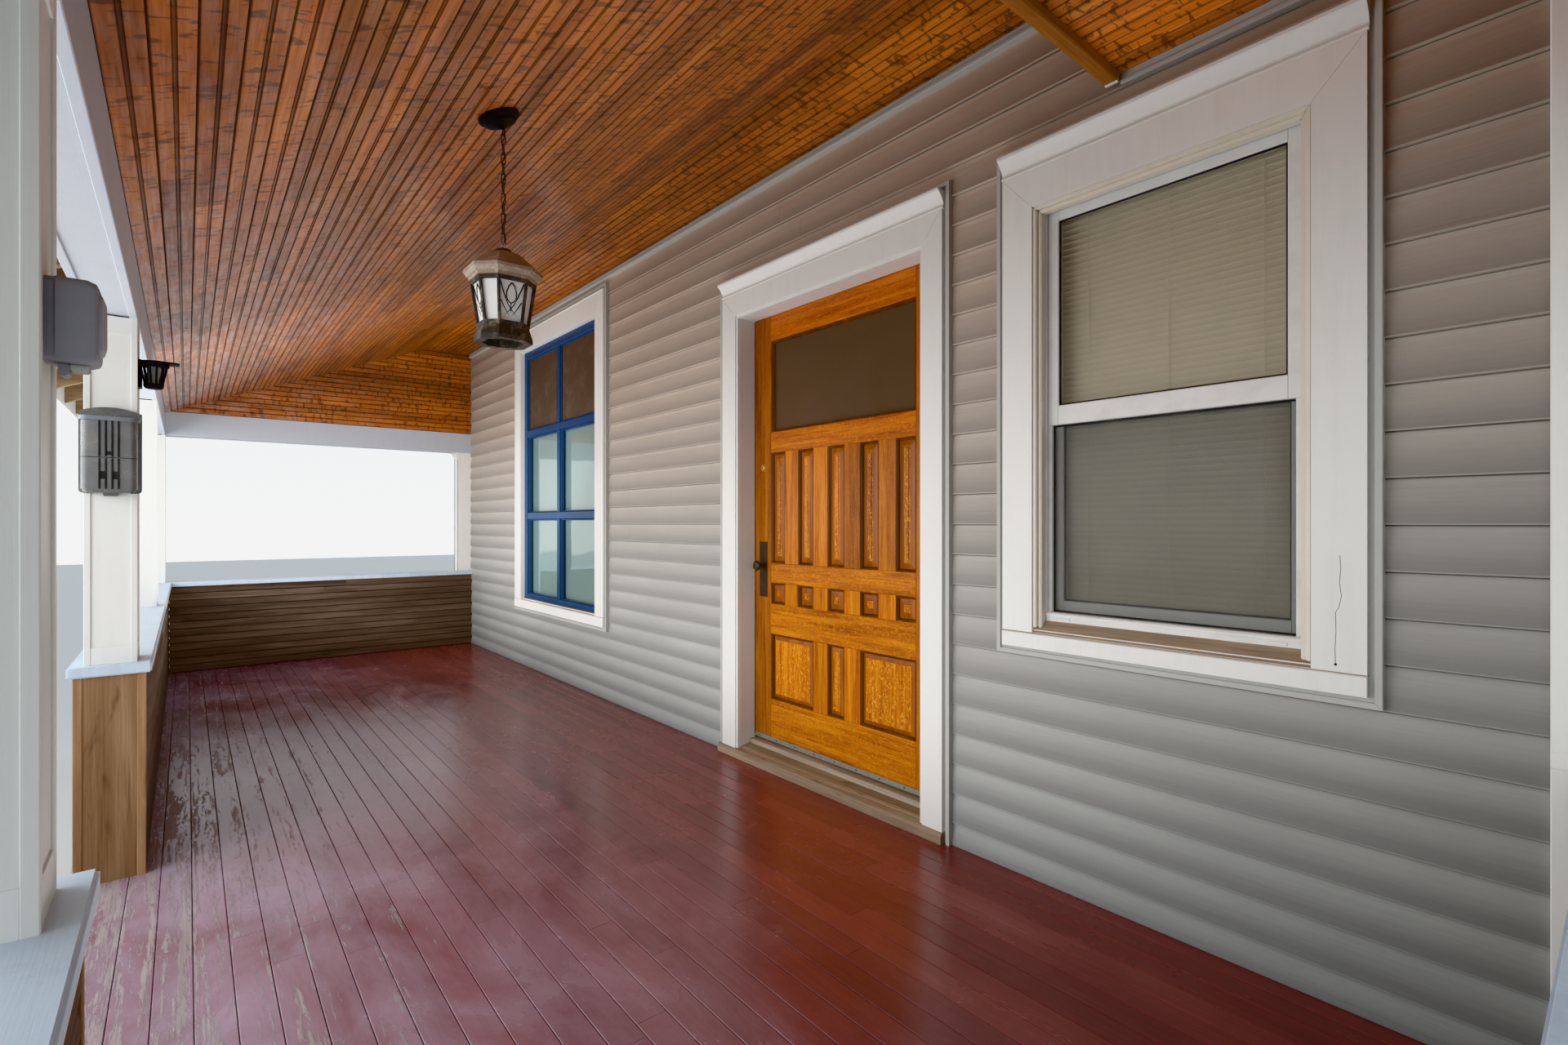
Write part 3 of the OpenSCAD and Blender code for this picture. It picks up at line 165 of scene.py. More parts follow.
def lengths(span, shortest, longest):
    """Splits a run into boards of random lengths that meet end to end."""
    joints, spot = [span[0]], span[0] + RANDOM.uniform(0.4, 1.0) * longest
    while spot < span[1] - shortest:
        joints.append(spot)
        spot += RANDOM.uniform(shortest, longest)
    joints.append(span[1])
    return list(zip(joints, joints[1:]))


def fitted(run):
    """Width of a bead board that divides a run evenly."""
    return run / round(run / 83)


BREAK_V, DROP_V = ceiling_v(FLAT_H), ceiling_v(DROP_H)
SLOPE_RUN = (BREAK_V - BEAM_IN) / COS
GABLE_FOOT, GABLE_TOP = (ceiling_h(v) + TILTED_T for v in (BEAM_IN, V_SHEATH))
SLOPE_STEP, FLAT_STEP = fitted(SLOPE_RUN), fitted(V_SHEATH - BREAK_V)
DROP_STEP, GABLE_STEP = fitted(V_LAP - DROP_V), fitted(GABLE_TOP - GABLE_FOOT)
M = {}


class Shade:
    """A material or a world, and the nodes that feed its main node."""

    def __init__(self, name, main="Principled BSDF", kind=bpy.data.materials, **uniform):
        self.name, self.data = name, kind.new(name)
        self.data.use_nodes = True
        self.tree = self.data.node_tree
        self.inputs = self.tree.nodes[main].inputs
        for key, value in uniform.items():
            self.inputs[key.replace("_", " ")].default_value = value

    def put(self, socket, value):
        if isinstance(value, bpy.types.NodeSocket):
            self.tree.links.new(value, socket)
        else:
            socket.default_value = (*value, 1) if socket.type == "RGBA" else value

    def node(self, kind, inputs, **settings):
        node = self.tree.nodes.new("ShaderNode" + kind)
        for key, value in settings.items():
            setattr(node, key, value)
        for key, value in inputs.items():
            self.put(node.inputs[key], value)
        return node

    def tone(self):
        return self.node("Attribute", {}, attribute_name="tone").outputs["Fac"]

    def noise(self, scale, detail=4, rough=0.6, distort=0, own=True):
        """Noise on the object; each board has its own shift where own is true."""
        if isinstance(scale, (int, float)):
            scale = (scale,) * 3
        spot = self.node("TexCoord", {}).outputs["Object"]
        spot = self.node("VectorMath", {0: spot, 1: scale}, operation="MULTIPLY").outputs[0]
        if own:
            shift = self.node("VectorMath", {0: (91, 57, 73), "Scale": self.tone()}, operation="SCALE")
            spot = self.node("VectorMath", {0: spot, 1: shift.outputs[0]}, operation="ADD").outputs[0]
        return self.node("TexNoise", {"Vector": spot, "Scale": 1, "Detail": detail, "Roughness": rough,
                                      "Distortion": distort}).outputs["Fac"]

    def grain(self, axis, along, across, *more):
        """Noise that is drawn out along one axis."""
        return self.noise([along if i == axis else across for i in range(3)], *more)

    def ramp(self, value, *stops):
        """Stops are places and their colours or greys in turn."""
        node = self.node("ValToRGB", {"Fac": value})
        spots = node.color_ramp.elements
        while len(spots) < len(stops) / 2:
            spots.new(0.5)
        for spot, place, colour in zip(spots, stops[::2], stops[1::2]):
            spot.position = place
            spot.color = (*colour, 1) if isinstance(colour, tuple) else (colour, colour, colour, 1)
        return node.outputs["Color"]

    def mix(self, share, first, second, how="MIX"):
        return self.node("Mix", {0: share, 6: first, 7: second}, data_type="RGBA", blend_type=how).outputs[2]

    def times(self, colour, by):
        return self.mix(1.0, colour, by, "MULTIPLY")

    def toned(self, colour, low, high):
        """Colour made darker or lighter by each board's own tone."""
        return self.times(colour, self.ramp(self.tone(), 0.0, low, 1.0, high))

    def math(self, how, first, second=0.0):
        return self.node("Math", {0: first, 1: second}, operation=how).outputs[0]

    def mask(self, value, low, high, share):
        return self.math("MULTIPLY", self.ramp(value, low, 0.0, high, 1.0), share)

    def place(self, axis, kind="Object"):
        return self.node("SeparateXYZ", {0: self.node("TexCoord", {}).outputs[kind]}).outputs[axis]

    def rows(self, axis, start, pitch):
        """Runs from 0 to 1 over each board or course; its start and pitch are in millimetres."""
        spot = self.math("SUBTRACT", self.place(axis), start / 1000)
        return self.math("FRACT", self.math("DIVIDE", spot, pitch / 1000))

    def span(self, axis, low, high, start=0.0, end=1.0):
        """Runs from start to end as a coordinate goes from low to high."""
        return self.node("MapRange", {"Value": self.place(axis), "From Min": low, "From Max": high,
                                      "To Min": start, "To Max": end}).outputs[0]

    def bump(self, height, depth):
        node = self.node("Bump", {"Height": height, "Distance": depth, "Strength": 1.0})
        self.put(self.inputs["Normal"], node.outputs["Normal"])

    def finish(self, colour, rough):
        self.put(self.inputs["Base Color"], colour)
        self.put(self.inputs["Roughness"], rough)
        M[self.name] = self.data


def wood(name, axis, dark, middle, light, rough, grain, depth, spread, knots=0.0, coat=0.0):
    """Timber with its grain along one axis; each board has a tone of its own."""
    s = Shade(name, Coat_Weight=coat, Coat_Roughness=0.18)
    broad = s.grain(axis, 1.3, grain / 5, 5, 0.6, 0.6)
    fine = s.grain(axis, 4, grain * 2.2, 6, 0.7, 0.2)
    colour = s.ramp(s.mix(0.4, broad, fine), 0.3, dark, 0.5, middle, 0.68, light)
    colour = s.toned(colour, 1 - spread / 2, 1 + spread / 2)
    if knots:
        spots = s.grain(axis, 2.6, 17, 2, 0.5, 1.6)
        colour = s.mix(s.mask(spots, 0.64, 0.74, knots), colour, [c * 0.25 for c in dark])
    s.bump(s.mix(0.5, broad, fine), depth)
    s.finish(colour, s.ramp(fine, 0.3, rough[1], 0.7, rough[0]))


def paint(name, colour, stain, dirt=0.2, brush=0, rough=(0.35, 0.5)):
    """Painted timber: faint brush marks, blotches and grime."""
    s = Shade(name)
    blotch = s.noise(2.2, 5, 0.65, 0.4)
    streak = s.grain(2, 1.5, 22, 5, 0.7, 0.3)
    marks = s.grain(brush, 7, 240, 3, 0.6)
    grime = s.mask(s.mix(0.5, blotch, streak), 0.5, 0.7, dirt)
    s.bump(s.mix(0.25, marks, blotch), 0.00025)
    s.finish(s.mix(grime, s.toned(colour, 0.94, 1.03), stain), s.ramp(blotch, 0.3, rough[0], 0.7, rough[1]))


def metal(name, colour, wear, rough=0.45, share=0.35, metallic=0.8):
    s = Shade(name, Metallic=metallic)
    cloud = s.noise(26, 5, 0.7, 0.3, own=False)
    speck = s.noise(240, 3, 0.6, own=False)
    s.bump(speck, 0.0002)
    worn = s.mask(s.mix(0.35, cloud, speck), 0.5, 0.62, share)
    s.finish(s.mix(worn, colour, wear), s.ramp(cloud, 0.3, rough - 0.1, 0.7, rough + 0.2))


def plastic(name, colour, rough, grain=420, depth=0.00012, dust=0.12, **uniform):
    s = Shade(name, **uniform)
    cloud = s.noise((9, 9, 14), 4, 0.6, 0.4, own=False)
    s.bump(s.noise(grain, 2, 0.5, own=False), depth)
    s.finish(s.mix(s.mask(cloud, 0.45, 0.7, dust), colour, (0.42, 0.40, 0.37)),
             s.ramp(cloud, 0.3, rough, 0.7, rough + 0.15))


def deck_paint():
    """Maroon floor paint, glossy in places, worn to grey wood towards the open side, with a painted sheen at
    the front.
    """
    s = Shade("deck_paint", Specular_IOR_Level=0.6)
    grain = s.grain(0, 3, 190, 6, 0.7, 0.2)
    blotch = s.noise((1.7, 3.2, 3), 5, 0.65, 0.5, own=False)
    streaks = s.grain(0, 1.3, 24, 5, 0.7, 0.6)
    chips = s.grain(0, 11, 75, 6, 0.8, 0.6)
    colour = s.ramp(s.mix(0.35, blotch, grain), 0.3, (0.185, 0.062, 0.058), 0.55, (0.265, 0.094, 0.086),
                    0.75, (0.345, 0.150, 0.140))
    colour = s.toned(colour, 0.85, 1.1)
    edge = s.span(1, -1.0, 0.55, 0.115, -0.09)
    worn = s.ramp(s.math("ADD", s.mix(0.5, chips, streaks), edge), 0.60, 0.0, 0.625, 1.0)
    bare = s.ramp(grain, 0.3, (0.24, 0.19, 0.19), 0.7, (0.52, 0.47, 0.47))
    # Painted sheen: a pale lavender reflection of the sky, strongest towards the open front
    painted_sheen = s.math("MULTIPLY", s.span(1, -1.0, 0.8, 0.85, 0.0), s.ramp(blotch, 0.35, 0.35, 0.65, 1.0))
    painted_sheen = s.math("MULTIPLY", painted_sheen, s.span(1, -1.2, -0.95, 0.25, 1.0))
    colour = s.mix(painted_sheen, colour, (0.46, 0.40, 0.52))
    colour = s.mix(s.math("MULTIPLY", worn, 0.8), colour, bare)
    s.bump(s.mix(0.5, grain, worn), 0.0005)
    s.finish(colour, s.mix(worn, s.ramp(blotch, 0.35, 0.19, 0.7, 0.32), (0.55, 0.55, 0.55)))


def siding_vinyl():
    """Taupe lap siding with painted shade: laps darken towards the foot above a painted highlight on the lip.
    """
    s = Shade("siding_vinyl", Specular_IOR_Level=0.35)
    grain = s.grain(0, 5, 170, 5, 0.65, 0.3)
    blotch = s.noise((1.4, 1.4, 3.5), 5, 0.6, 0.4, own=False)
    # Painted light by height: cool grey near the deck, warmer and lighter towards the ceiling
    colour = s.ramp(s.span(2, 0.6, 3.5), 0.0, (0.37, 0.39, 0.375), 0.35, (0.41, 0.395, 0.365),
                    0.7, (0.50, 0.43, 0.365), 1.0, (0.47, 0.385, 0.315))
    # Painted shade: the siding grows darker towards the near end
    colour = s.times(colour, s.ramp(s.span(0, 2.2, 3.9), 0.0, 1.0, 1.0, 0.80))
    # Painted shade across each lap: a highlight on the lip, shade just above it and a shadow line under the
    # lap above
    painted_lap_shade = s.ramp(s.rows(2, DECK + LAP_FIRST, LAP), 0.0, 1.12, 0.022, 1.12, 0.045, 0.70, 0.25, 0.76,
                   0.62, 1.0, 0.90, 1.12, 0.965, 1.02, 1.0, 0.55)
    colour = s.times(colour, s.ramp(s.mix(0.4, blotch, grain), 0.3, 0.88, 0.7, 1.07))
    colour = s.mix(s.ramp(blotch, 0.3, 0.75, 0.6, 1.0), colour, s.times(colour, painted_lap_shade))
    s.bump(grain, 0.00035)
    s.finish(colour, s.ramp(blotch, 0.3, 0.42, 0.7, 0.58))


def bead_board(name, axis, across, start, pitch, gain=1.0):
    """Orange-brown bead board with stain gathered in its grooves, dust mixed with painted sheen, and short
    dark marks.
    """
    s = Shade(name, Coat_Weight=0.45, Coat_Roughness=0.22)
    grain = s.grain(axis, 3.5, 110, 5, 0.65, 0.5)
    cloud = s.grain(axis, 1.5, 7, 4, 0.6, 0.4)
    marks = s.grain(axis, 40, 15, 2, 0.5, 0.8)
    shine = s.grain(axis, 7, 26, 3, 0.6, 0.5)
    colour = s.ramp(s.mix(0.5, grain, cloud), 0.30, (0.175, 0.046, 0.010), 0.5, (0.370, 0.112, 0.019),
                    0.70, (0.560, 0.215, 0.042))
    colour = s.times(colour, s.ramp(s.tone(), 0.0, 0.62 * gain, 0.5, 0.95 * gain, 1.0, 1.22 * gain))
    line = s.ramp(s.rows(across, start, pitch), 0.0, 0.22, 0.035, 0.5, 0.07, 1.0, 0.42, 1.0, 0.46, 0.35,
                  0.54, 0.35, 0.58, 1.0, 0.95, 1.0, 1.0, 0.22)
    colour = s.mix(s.mask(marks, 0.56, 0.63, 0.7), s.times(colour, line), (0.045, 0.014, 0.004))
    # Painted light: the boards grow lighter towards the near end
    colour = s.times(colour, s.ramp(s.span(0, 0.3, 3.0), 0.0, 1.0, 1.0, 1.3))
    # Pale film towards the open front and the far end: partly dust, partly painted sheen of the bright
    # outdoors
    dust = s.math("MULTIPLY", s.span(1, -1.0, 1.1, 0.46, 0.0), s.ramp(shine, 0.42, 0.2, 0.62, 1.0))
    dust = s.math("MULTIPLY", dust, s.span(0, -0.8, 1.4, 1.0, 0.4))
    colour = s.mix(s.math("MULTIPLY", dust, line), colour, (0.56, 0.46, 0.43))
    s.bump(s.mix(0.5, grain, cloud), 0.0005)
    s.finish(colour, s.ramp(grain, 0.3, 0.46, 0.7, 0.30))


def masonry(name, dark, light):
    s = Shade(name)
    cloud, grit = s.noise(7, 6, 0.7, 0.3), s.noise(180, 4, 0.7)
    colour = s.ramp(s.mix(0.45, cloud, grit), 0.3, dark, 0.7, light)
    s.bump(s.mix(0.5, cloud, grit), 0.002)
    s.finish(s.toned(colour, 0.85, 1.1), 0.9)


def shingle():
    s = Shade("shingle")
    grit, cloud = s.noise(420, 3, 0.8), s.noise(5, 4, 0.6, 0.3)
    colour = s.ramp(grit, 0.25, (0.035, 0.035, 0.038), 0.5, (0.10, 0.10, 0.10), 0.8, (0.24, 0.235, 0.23))
    s.bump(s.mix(0.2, grit, cloud), 0.0015)
    s.finish(s.toned(colour, 0.6, 1.35), 0.88)


def glass(name, colour, rough, through, grime=0.06, index=1.45):
    s = Shade(name, Transmission_Weight=through, IOR=index)
    cloud = s.noise(3, 5, 0.7, 0.5, own=False)
    s.bump(s.noise((2.5, 2.5, 4), 1, 0.4, own=False), 0.002)
    s.finish(s.mix(s.math("MULTIPLY", cloud, grime), colour, (0.55, 0.55, 0.5)),
             s.ramp(cloud, 0.3, rough, 0.7, rough + 0.05))


def oak(name, axis, flecks):
    """Varnished quarter-sawn oak: straight grain, open pores and pale ray flecks across it."""
    s = Shade(name, Coat_Weight=0.22, Coat_Roughness=0.12)
    broad = s.grain(axis, 1.6, 42, 5, 0.6, 0.8)
    pores = s.grain(axis, 12, 300, 4, 0.7)
    colour = s.ramp(s.mix(0.4, broad, pores), 0.36, (0.235, 0.048, 0.002), 0.5, (0.49, 0.145, 0.004),
                    0.64, (0.70, 0.275, 0.012))
    colour = s.times(colour, s.ramp(s.tone(), 0.0, 0.62, 0.3, 0.84, 1.0, 1.06))
    rays = s.grain(axis, 34, 60, 3, 0.55, 2.2)
    colour = s.mix(s.mask(rays, 0.54, 0.60, flecks), colour, (0.74, 0.36, 0.05))
    # Painted shade: the leaf grows darker and redder towards its head
    colour = s.times(colour, s.ramp(s.span(2, 1.5, 2.9), 0.0, (1.0, 1.0, 1.0), 1.0, (0.86, 0.66, 0.75)))
    s.bump(s.mix(0.6, broad, pores), 0.0003)
    s.finish(colour, s.ramp(pores, 0.3, 0.42, 0.7, 0.26))


deck_paint()
siding_vinyl()
shingle()
bead_board("bead_board_slope", 0, 1, FRONT + BEAM_IN, SLOPE_STEP * COS)
bead_board("bead_board_flat", 0, 1, FRONT + BREAK_V, FLAT_STEP)
# The dropped ceiling gets a copy of the bead board 1.7 times lighter: painted light
bead_board("bead_board_drop", 0, 1, FRONT + DROP_V, DROP_STEP, 1.7)
bead_board("bead_board_gable", 1, 2, DECK + GABLE_FOOT, GABLE_STEP)
WHITE, WHITE_DIRT = (0.76, 0.765, 0.73), (0.50, 0.48, 0.42)
paint("white_trim", WHITE, WHITE_DIRT)
paint("white_upright", WHITE, WHITE_DIRT, brush=2)
# The beams get the white made greyer and bluer: painted shade
paint("beam_paint", (0.50, 0.53, 0.57), (0.36, 0.36, 0.36))
# The corner board gets the white made lighter: painted light
paint("bright_trim", (0.86, 0.87, 0.83), WHITE_DIRT, 0.15, 2)
paint("cap_paint", (0.54, 0.64, 0.73), (0.36, 0.38, 0.40), 0.5)
paint("cream_trim", (0.74, 0.70, 0.60), (0.50, 0.42, 0.32), 0.35)
paint("plaster", (0.66, 0.64, 0.60), (0.50, 0.47, 0.42), rough=(0.6, 0.75))
paint("blue_paint", (0.024, 0.066, 0.165), (0.050, 0.135, 0.195), 0.5, 2, (0.3, 0.45))
for i, name in enumerate(("brown_boards", "brown_boards_end", "brown_boards_up")):
    wood(name, i, (0.055, 0.037, 0.025), (0.120, 0.084, 0.060), (0.21, 0.155, 0.115), (0.50, 0.7),
         90, 0.0006, 0.5, 0.5)
for i, name in enumerate(("rough_timber", "rough_timber_deep")):
    wood(name, i, (0.20, 0.125, 0.065), (0.36, 0.25, 0.145), (0.50, 0.37, 0.235), (0.6, 0.8),
         60, 0.0008, 0.3, 0.4)
wood("batten_wood", 1, (0.15, 0.052, 0.010), (0.29, 0.110, 0.024), (0.40, 0.185, 0.055), (0.40, 0.55),
     80, 0.0005, 0.4, 0.5)
wood("golden_board", 2, (0.16, 0.088, 0.040), (0.29, 0.175, 0.092), (0.41, 0.275, 0.160), (0.45, 0.6),
     80, 0.0005, 0.3, 0.5)
wood("weathered_wood", 0, (0.16, 0.115, 0.078), (0.31, 0.240, 0.170), (0.46, 0.375, 0.285), (0.6, 0.8),
     85, 0.0012, 0.3, 0.7)
wood("weathered_nosing", 0, (0.27, 0.21, 0.15), (0.46, 0.38, 0.29), (0.60, 0.52, 0.425), (0.6, 0.8),
     85, 0.0010, 0.3, 0.5)
wood("oak_panel_slope", 2, (0.13, 0.030, 0.002), (0.27, 0.075, 0.005), (0.42, 0.140, 0.011), (0.3, 0.42),
     120, 0.0003, 0.3, coat=0.35)
wood("oak_moulding", 2, (0.045, 0.014, 0.003), (0.115, 0.034, 0.005), (0.24, 0.080, 0.011), (0.3, 0.45),
     120, 0.0003, 0.2, coat=0.3)
for name, axis, flecks in (("oak_upright", 2, 0.10), ("oak_rail", 0, 0.35), ("oak_panel", 2, 0.75)):
    oak(name, axis, flecks)
masonry("masonry", (0.17, 0.165, 0.155), (0.36, 0.35, 0.335))
masonry("mortar", (0.28, 0.27, 0.25), (0.42, 0.41, 0.39))
glass("window_glass", (0.93, 0.92, 0.89), 0.02, 0.97, index=1.25)
glass("door_glass", (0.13, 0.088, 0.056), 0.015, 0.25)
glass("dark_glass", (0.22, 0.33, 0.31), 0.02, 0.1, index=2.6)
glass("lantern_glass", (0.95, 0.96, 0.92), 0.30, 0.12, 0.1)
metal("aged_metal", (0.125, 0.108, 0.088), (0.26, 0.21, 0.14))
metal("dusty_bronze", (0.075, 0.067, 0.058), (0.36, 0.295, 0.23), 0.6, 0.7, 0.15)
metal("dusty_roof", (0.38, 0.31, 0.245), (0.62, 0.52, 0.42), 0.7, 0.95, 0.0)
metal("black_metal", (0.022, 0.022, 0.024), (0.10, 0.10, 0.10), 0.5, 0.4, 0.5)
metal("lead_came", (0.035, 0.033, 0.030), (0.12, 0.115, 0.10), 0.5, 0.4, 0.6)
metal("brass", (0.78, 0.56, 0.22), (0.50, 0.34, 0.14), 0.32, 0.3, 0.8)
metal("strip_metal", (0.42, 0.45, 0.40), (0.25, 0.24, 0.20), 0.4, 0.5, 0.6)
plastic("channel_vinyl", (0.47, 0.475, 0.445), 0.5)
plastic("white_vinyl", (0.72, 0.72, 0.69), 0.32, dust=0.2)
plastic("dark_gap", (0.018, 0.012, 0.008), 0.9)
plastic("dark_gasket", (0.025, 0.025, 0.025), 0.6)
plastic("blind_slats", (0.68, 0.63, 0.50), 0.5, dust=0.15)
plastic("insect_screen", (0.17, 0.17, 0.16), 0.7, 900, 0.0004, Alpha=0.28)
plastic("brown_screen", (0.125, 0.088, 0.062), 0.7, 900, 0.0004, Alpha=0.75)
plastic("gray_plastic", (0.27, 0.275, 0.305), 0.42)
plastic("lens_plastic", (0.33, 0.36, 0.40), 0.25, Coat_Weight=0.3)
plastic("smoked_plastic", (0.19, 0.195, 0.19), 0.16, 90, 0.0004, 0.35, Coat_Weight=0.4,
        Transmission_Weight=0.25)
plastic("smoked_rim", (0.17, 0.185, 0.21), 0.2, Coat_Weight=0.4)
plastic("pale_lens", (0.46, 0.47, 0.45), 0.25, Coat_Weight=0.2)


class Maker:
    """Collects closed pieces in millimetres and makes one mesh object of them."""

    def __init__(self, name, *materials, slot, body="porch"):
        self.name, self.materials, self.slot, self.body = name, materials, slot, body
        self.points, self.faces, self.tones, self.finishes = [], [], [], []

    def loft(self, rings, finish=0, tone=None, closed=False):
        """Skin over rings of points, capped at its two ends or closed on itself."""
        start, n, count = len(self.points), len(rings[0]), len(rings)
        faces = [] if closed else [range(n), range((count - 1) * n, count * n)[::-1]]
        faces = faces + [(j * n + i, j * n + (i + 1) % n, (j + 1) % count * n + (i + 1) % n,
                          (j + 1) % count * n + i) for j in range(count - (not closed)) for i in range(n)]
        self.faces += [[start + i for i in face] for face in faces]
        self.finishes += [finish] * len(faces)
        self.tones += [RANDOM.random() if tone is None else tone] * (count * n)
        for ring in rings:
            self.points += ring

    def prism(self, axis, section, span, finish=0, tone=None):
        """Section in the two other axes, from one end of a span to the other."""
        self.loft([lifted(axis, end, section) for end in span], finish, tone)

    def board(self, u, v, h, edge=2.0, finish=0, tone=None):
        """Board with its long edges taken off, drawn along its longest side."""
        sides = {"u": sorted(u), "v": sorted(v), "h": sorted(h)}
        axis = max(sides, key=lambda k: sides[k][1] - sides[k][0])
        (a, b), (c, d) = [sides[k] for k in "uvh" if k != axis]
        e = min(edge, (b - a) / 3, (d - c) / 3)
        self.prism(axis, [(a + e, c), (b - e, c), (b, c + e), (b, d - e), (b - e, d), (a + e, d), (a, d - e),
                          (a, c + e)], sides[axis], finish, tone)

    def runs(self, axis, section, span, shortest, longest, gap):
        """A row of boards of random lengths."""
        for piece in lengths(span, shortest, longest):
            self.prism(axis, section, inset(piece, gap))

    def lathe(self, centre, axis, profile, count=24, finish=0):
        """Profile of (distance along the axis, radius), turned round it."""
        rings = [lifted(axis, along, circle(r, count)) for along, r in profile]
        self.loft([[tuple(map(sum, zip(centre, p))) for p in ring] for ring in rings], finish)

    def tube(self, path, r):
        """Round bar through points."""
        path, rings = [Vector(p) for p in path], []
        for i, p in enumerate(path):
            way = (path[min(i + 1, len(path) - 1)] - path[max(i - 1, 0)]).normalized()
            across = way.cross(Vector((0, 0, 1)) if abs(way.z) < 0.9 else Vector((1, 0, 0))).normalized()
            other = way.cross(across)
            rings.append([tuple(p + across * x + other * y) for x, y in circle(r, 6)])
        self.loft(rings)

    def make(self, *replaced, bevel=0.0, segments=1, smooth=None):
        mesh = bpy.data.meshes.new(self.name)
        mesh.from_pydata([world(*p) for p in self.points], [], self.faces)
        mesh.attributes.new("tone", "FLOAT", "POINT").data.foreach_set("value", self.tones)
        mesh.polygons.foreach_set("material_index", self.finishes)
        form = bmesh.new()
        form.from_mesh(mesh)
        bmesh.ops.recalc_face_normals(form, faces=form.faces)
        if bevel:
            edges = [e for e in form.edges if len(e.link_faces) == 2 and e.calc_face_angle(0) > 0.5]
            bmesh.ops.bevel(form, geom=edges, offset=bevel / 1000, segments=segments,
                            affect="EDGES", clamp_overlap=True)
        form.to_mesh(mesh)
        form.free()
        for name in self.materials:
            mesh.materials.append(M[name])
        if smooth is not None:
            mesh.shade_smooth()
            mesh.set_sharp_from_angle(angle=math.radians(smooth))
        piece = bpy.data.objects.new(self.name, mesh)
        bpy.context.scene.collection.objects.link(piece)
        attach(piece, self.body)
        if replaced:
            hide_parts(*replaced)


def deck():
    m = Maker("deck_boards", "deck_paint", slot="deck_paint")
    front, worn = -25, 1.8
    for a, b in strips((front, V_SHEATH), 82.5, 0.7):
        nose = 9 if a < 0 else worn
        section = [(a + nose / 2, -DECK_T), (b, -DECK_T), (b, -worn), (b - worn, 0), (a + nose, 0),
                   (a, -nose)]
        m.runs("u", section, (front, LENGTH - front), 1600, 3900, 0.5)
    m.make("deck")


def mitred_frame(m, outer, inner, v, foot, head=0):
    """Legs and head that meet at mitres; outer and inner are (left, right, top) in u and h."""
    (a, b, top), (c, d, low) = outer, inner
    gap = 0.35
    m.prism("v", [(a, foot), (c, foot), (c, low - gap), (a, top - gap)], v)
    m.prism("v", [(d, foot), (b, foot), (b, top - gap), (d, low - gap)], v)
    m.prism("v", [(a + gap, top), (c + gap, low), (d - gap, low), (b - gap, top)], v, head)


def mitred_ring(m, u, h, w, v, foot=True):
    """Members of one width round an opening, mitred at the corners; open below without a foot."""
    (a, b), (c, d), gap = u, h, 0.2
    low = c + w * foot + gap
    if foot:
        m.prism("v", [(a + gap, c), (b - gap, c), (b - w - gap, c + w), (a + w + gap, c + w)], v)
    m.prism("v", [(a, c + gap), (a + w, low), (a + w, d - w - gap), (a, d - gap)], v)
    m.prism("v", [(b, c + gap), (b, d - gap), (b - w, d - w - gap), (b - w, low)], v)
    m.prism("v", [(a + gap, d), (a + w + gap, d - w), (b - w - gap, d - w), (b - gap, d)], v)


def ring_boards(m, u, h, side, head, foot, v, edge=2.5, finish=0):
    """Members of a sash or frame; the uprights run through."""
    for x in ends(u, side):
        m.board(x, v, h, edge, finish)
    for y in ((h[1] - head, h[1]), (h[0], h[0] + foot)):
        m.board(inset(u, side), v, y, edge, finish)


def free_spans(span, h, blocks):
    """Parts of a run that no block covers between two heights."""
    spans, start = [], span[0]
    for a, b in sorted((b[0], b[1]) for b in blocks if b[2] < h[1] - 0.01 and b[3] > h[0] + 0.01):
        if a > start:
            spans.append((start, a))
        start = max(start, b)
    return spans + ([(start, span[1])] if start < span[1] else [])


def read_off(table, t):
    """Value at t in a table of (t, value), by straight lines."""
    for (t0, a), (t1, b) in zip(table, table[1:]):
        if t0 <= t <= t1:
            return at((a, b), (t - t0) / (t1 - t0))
    return table[-1][1]


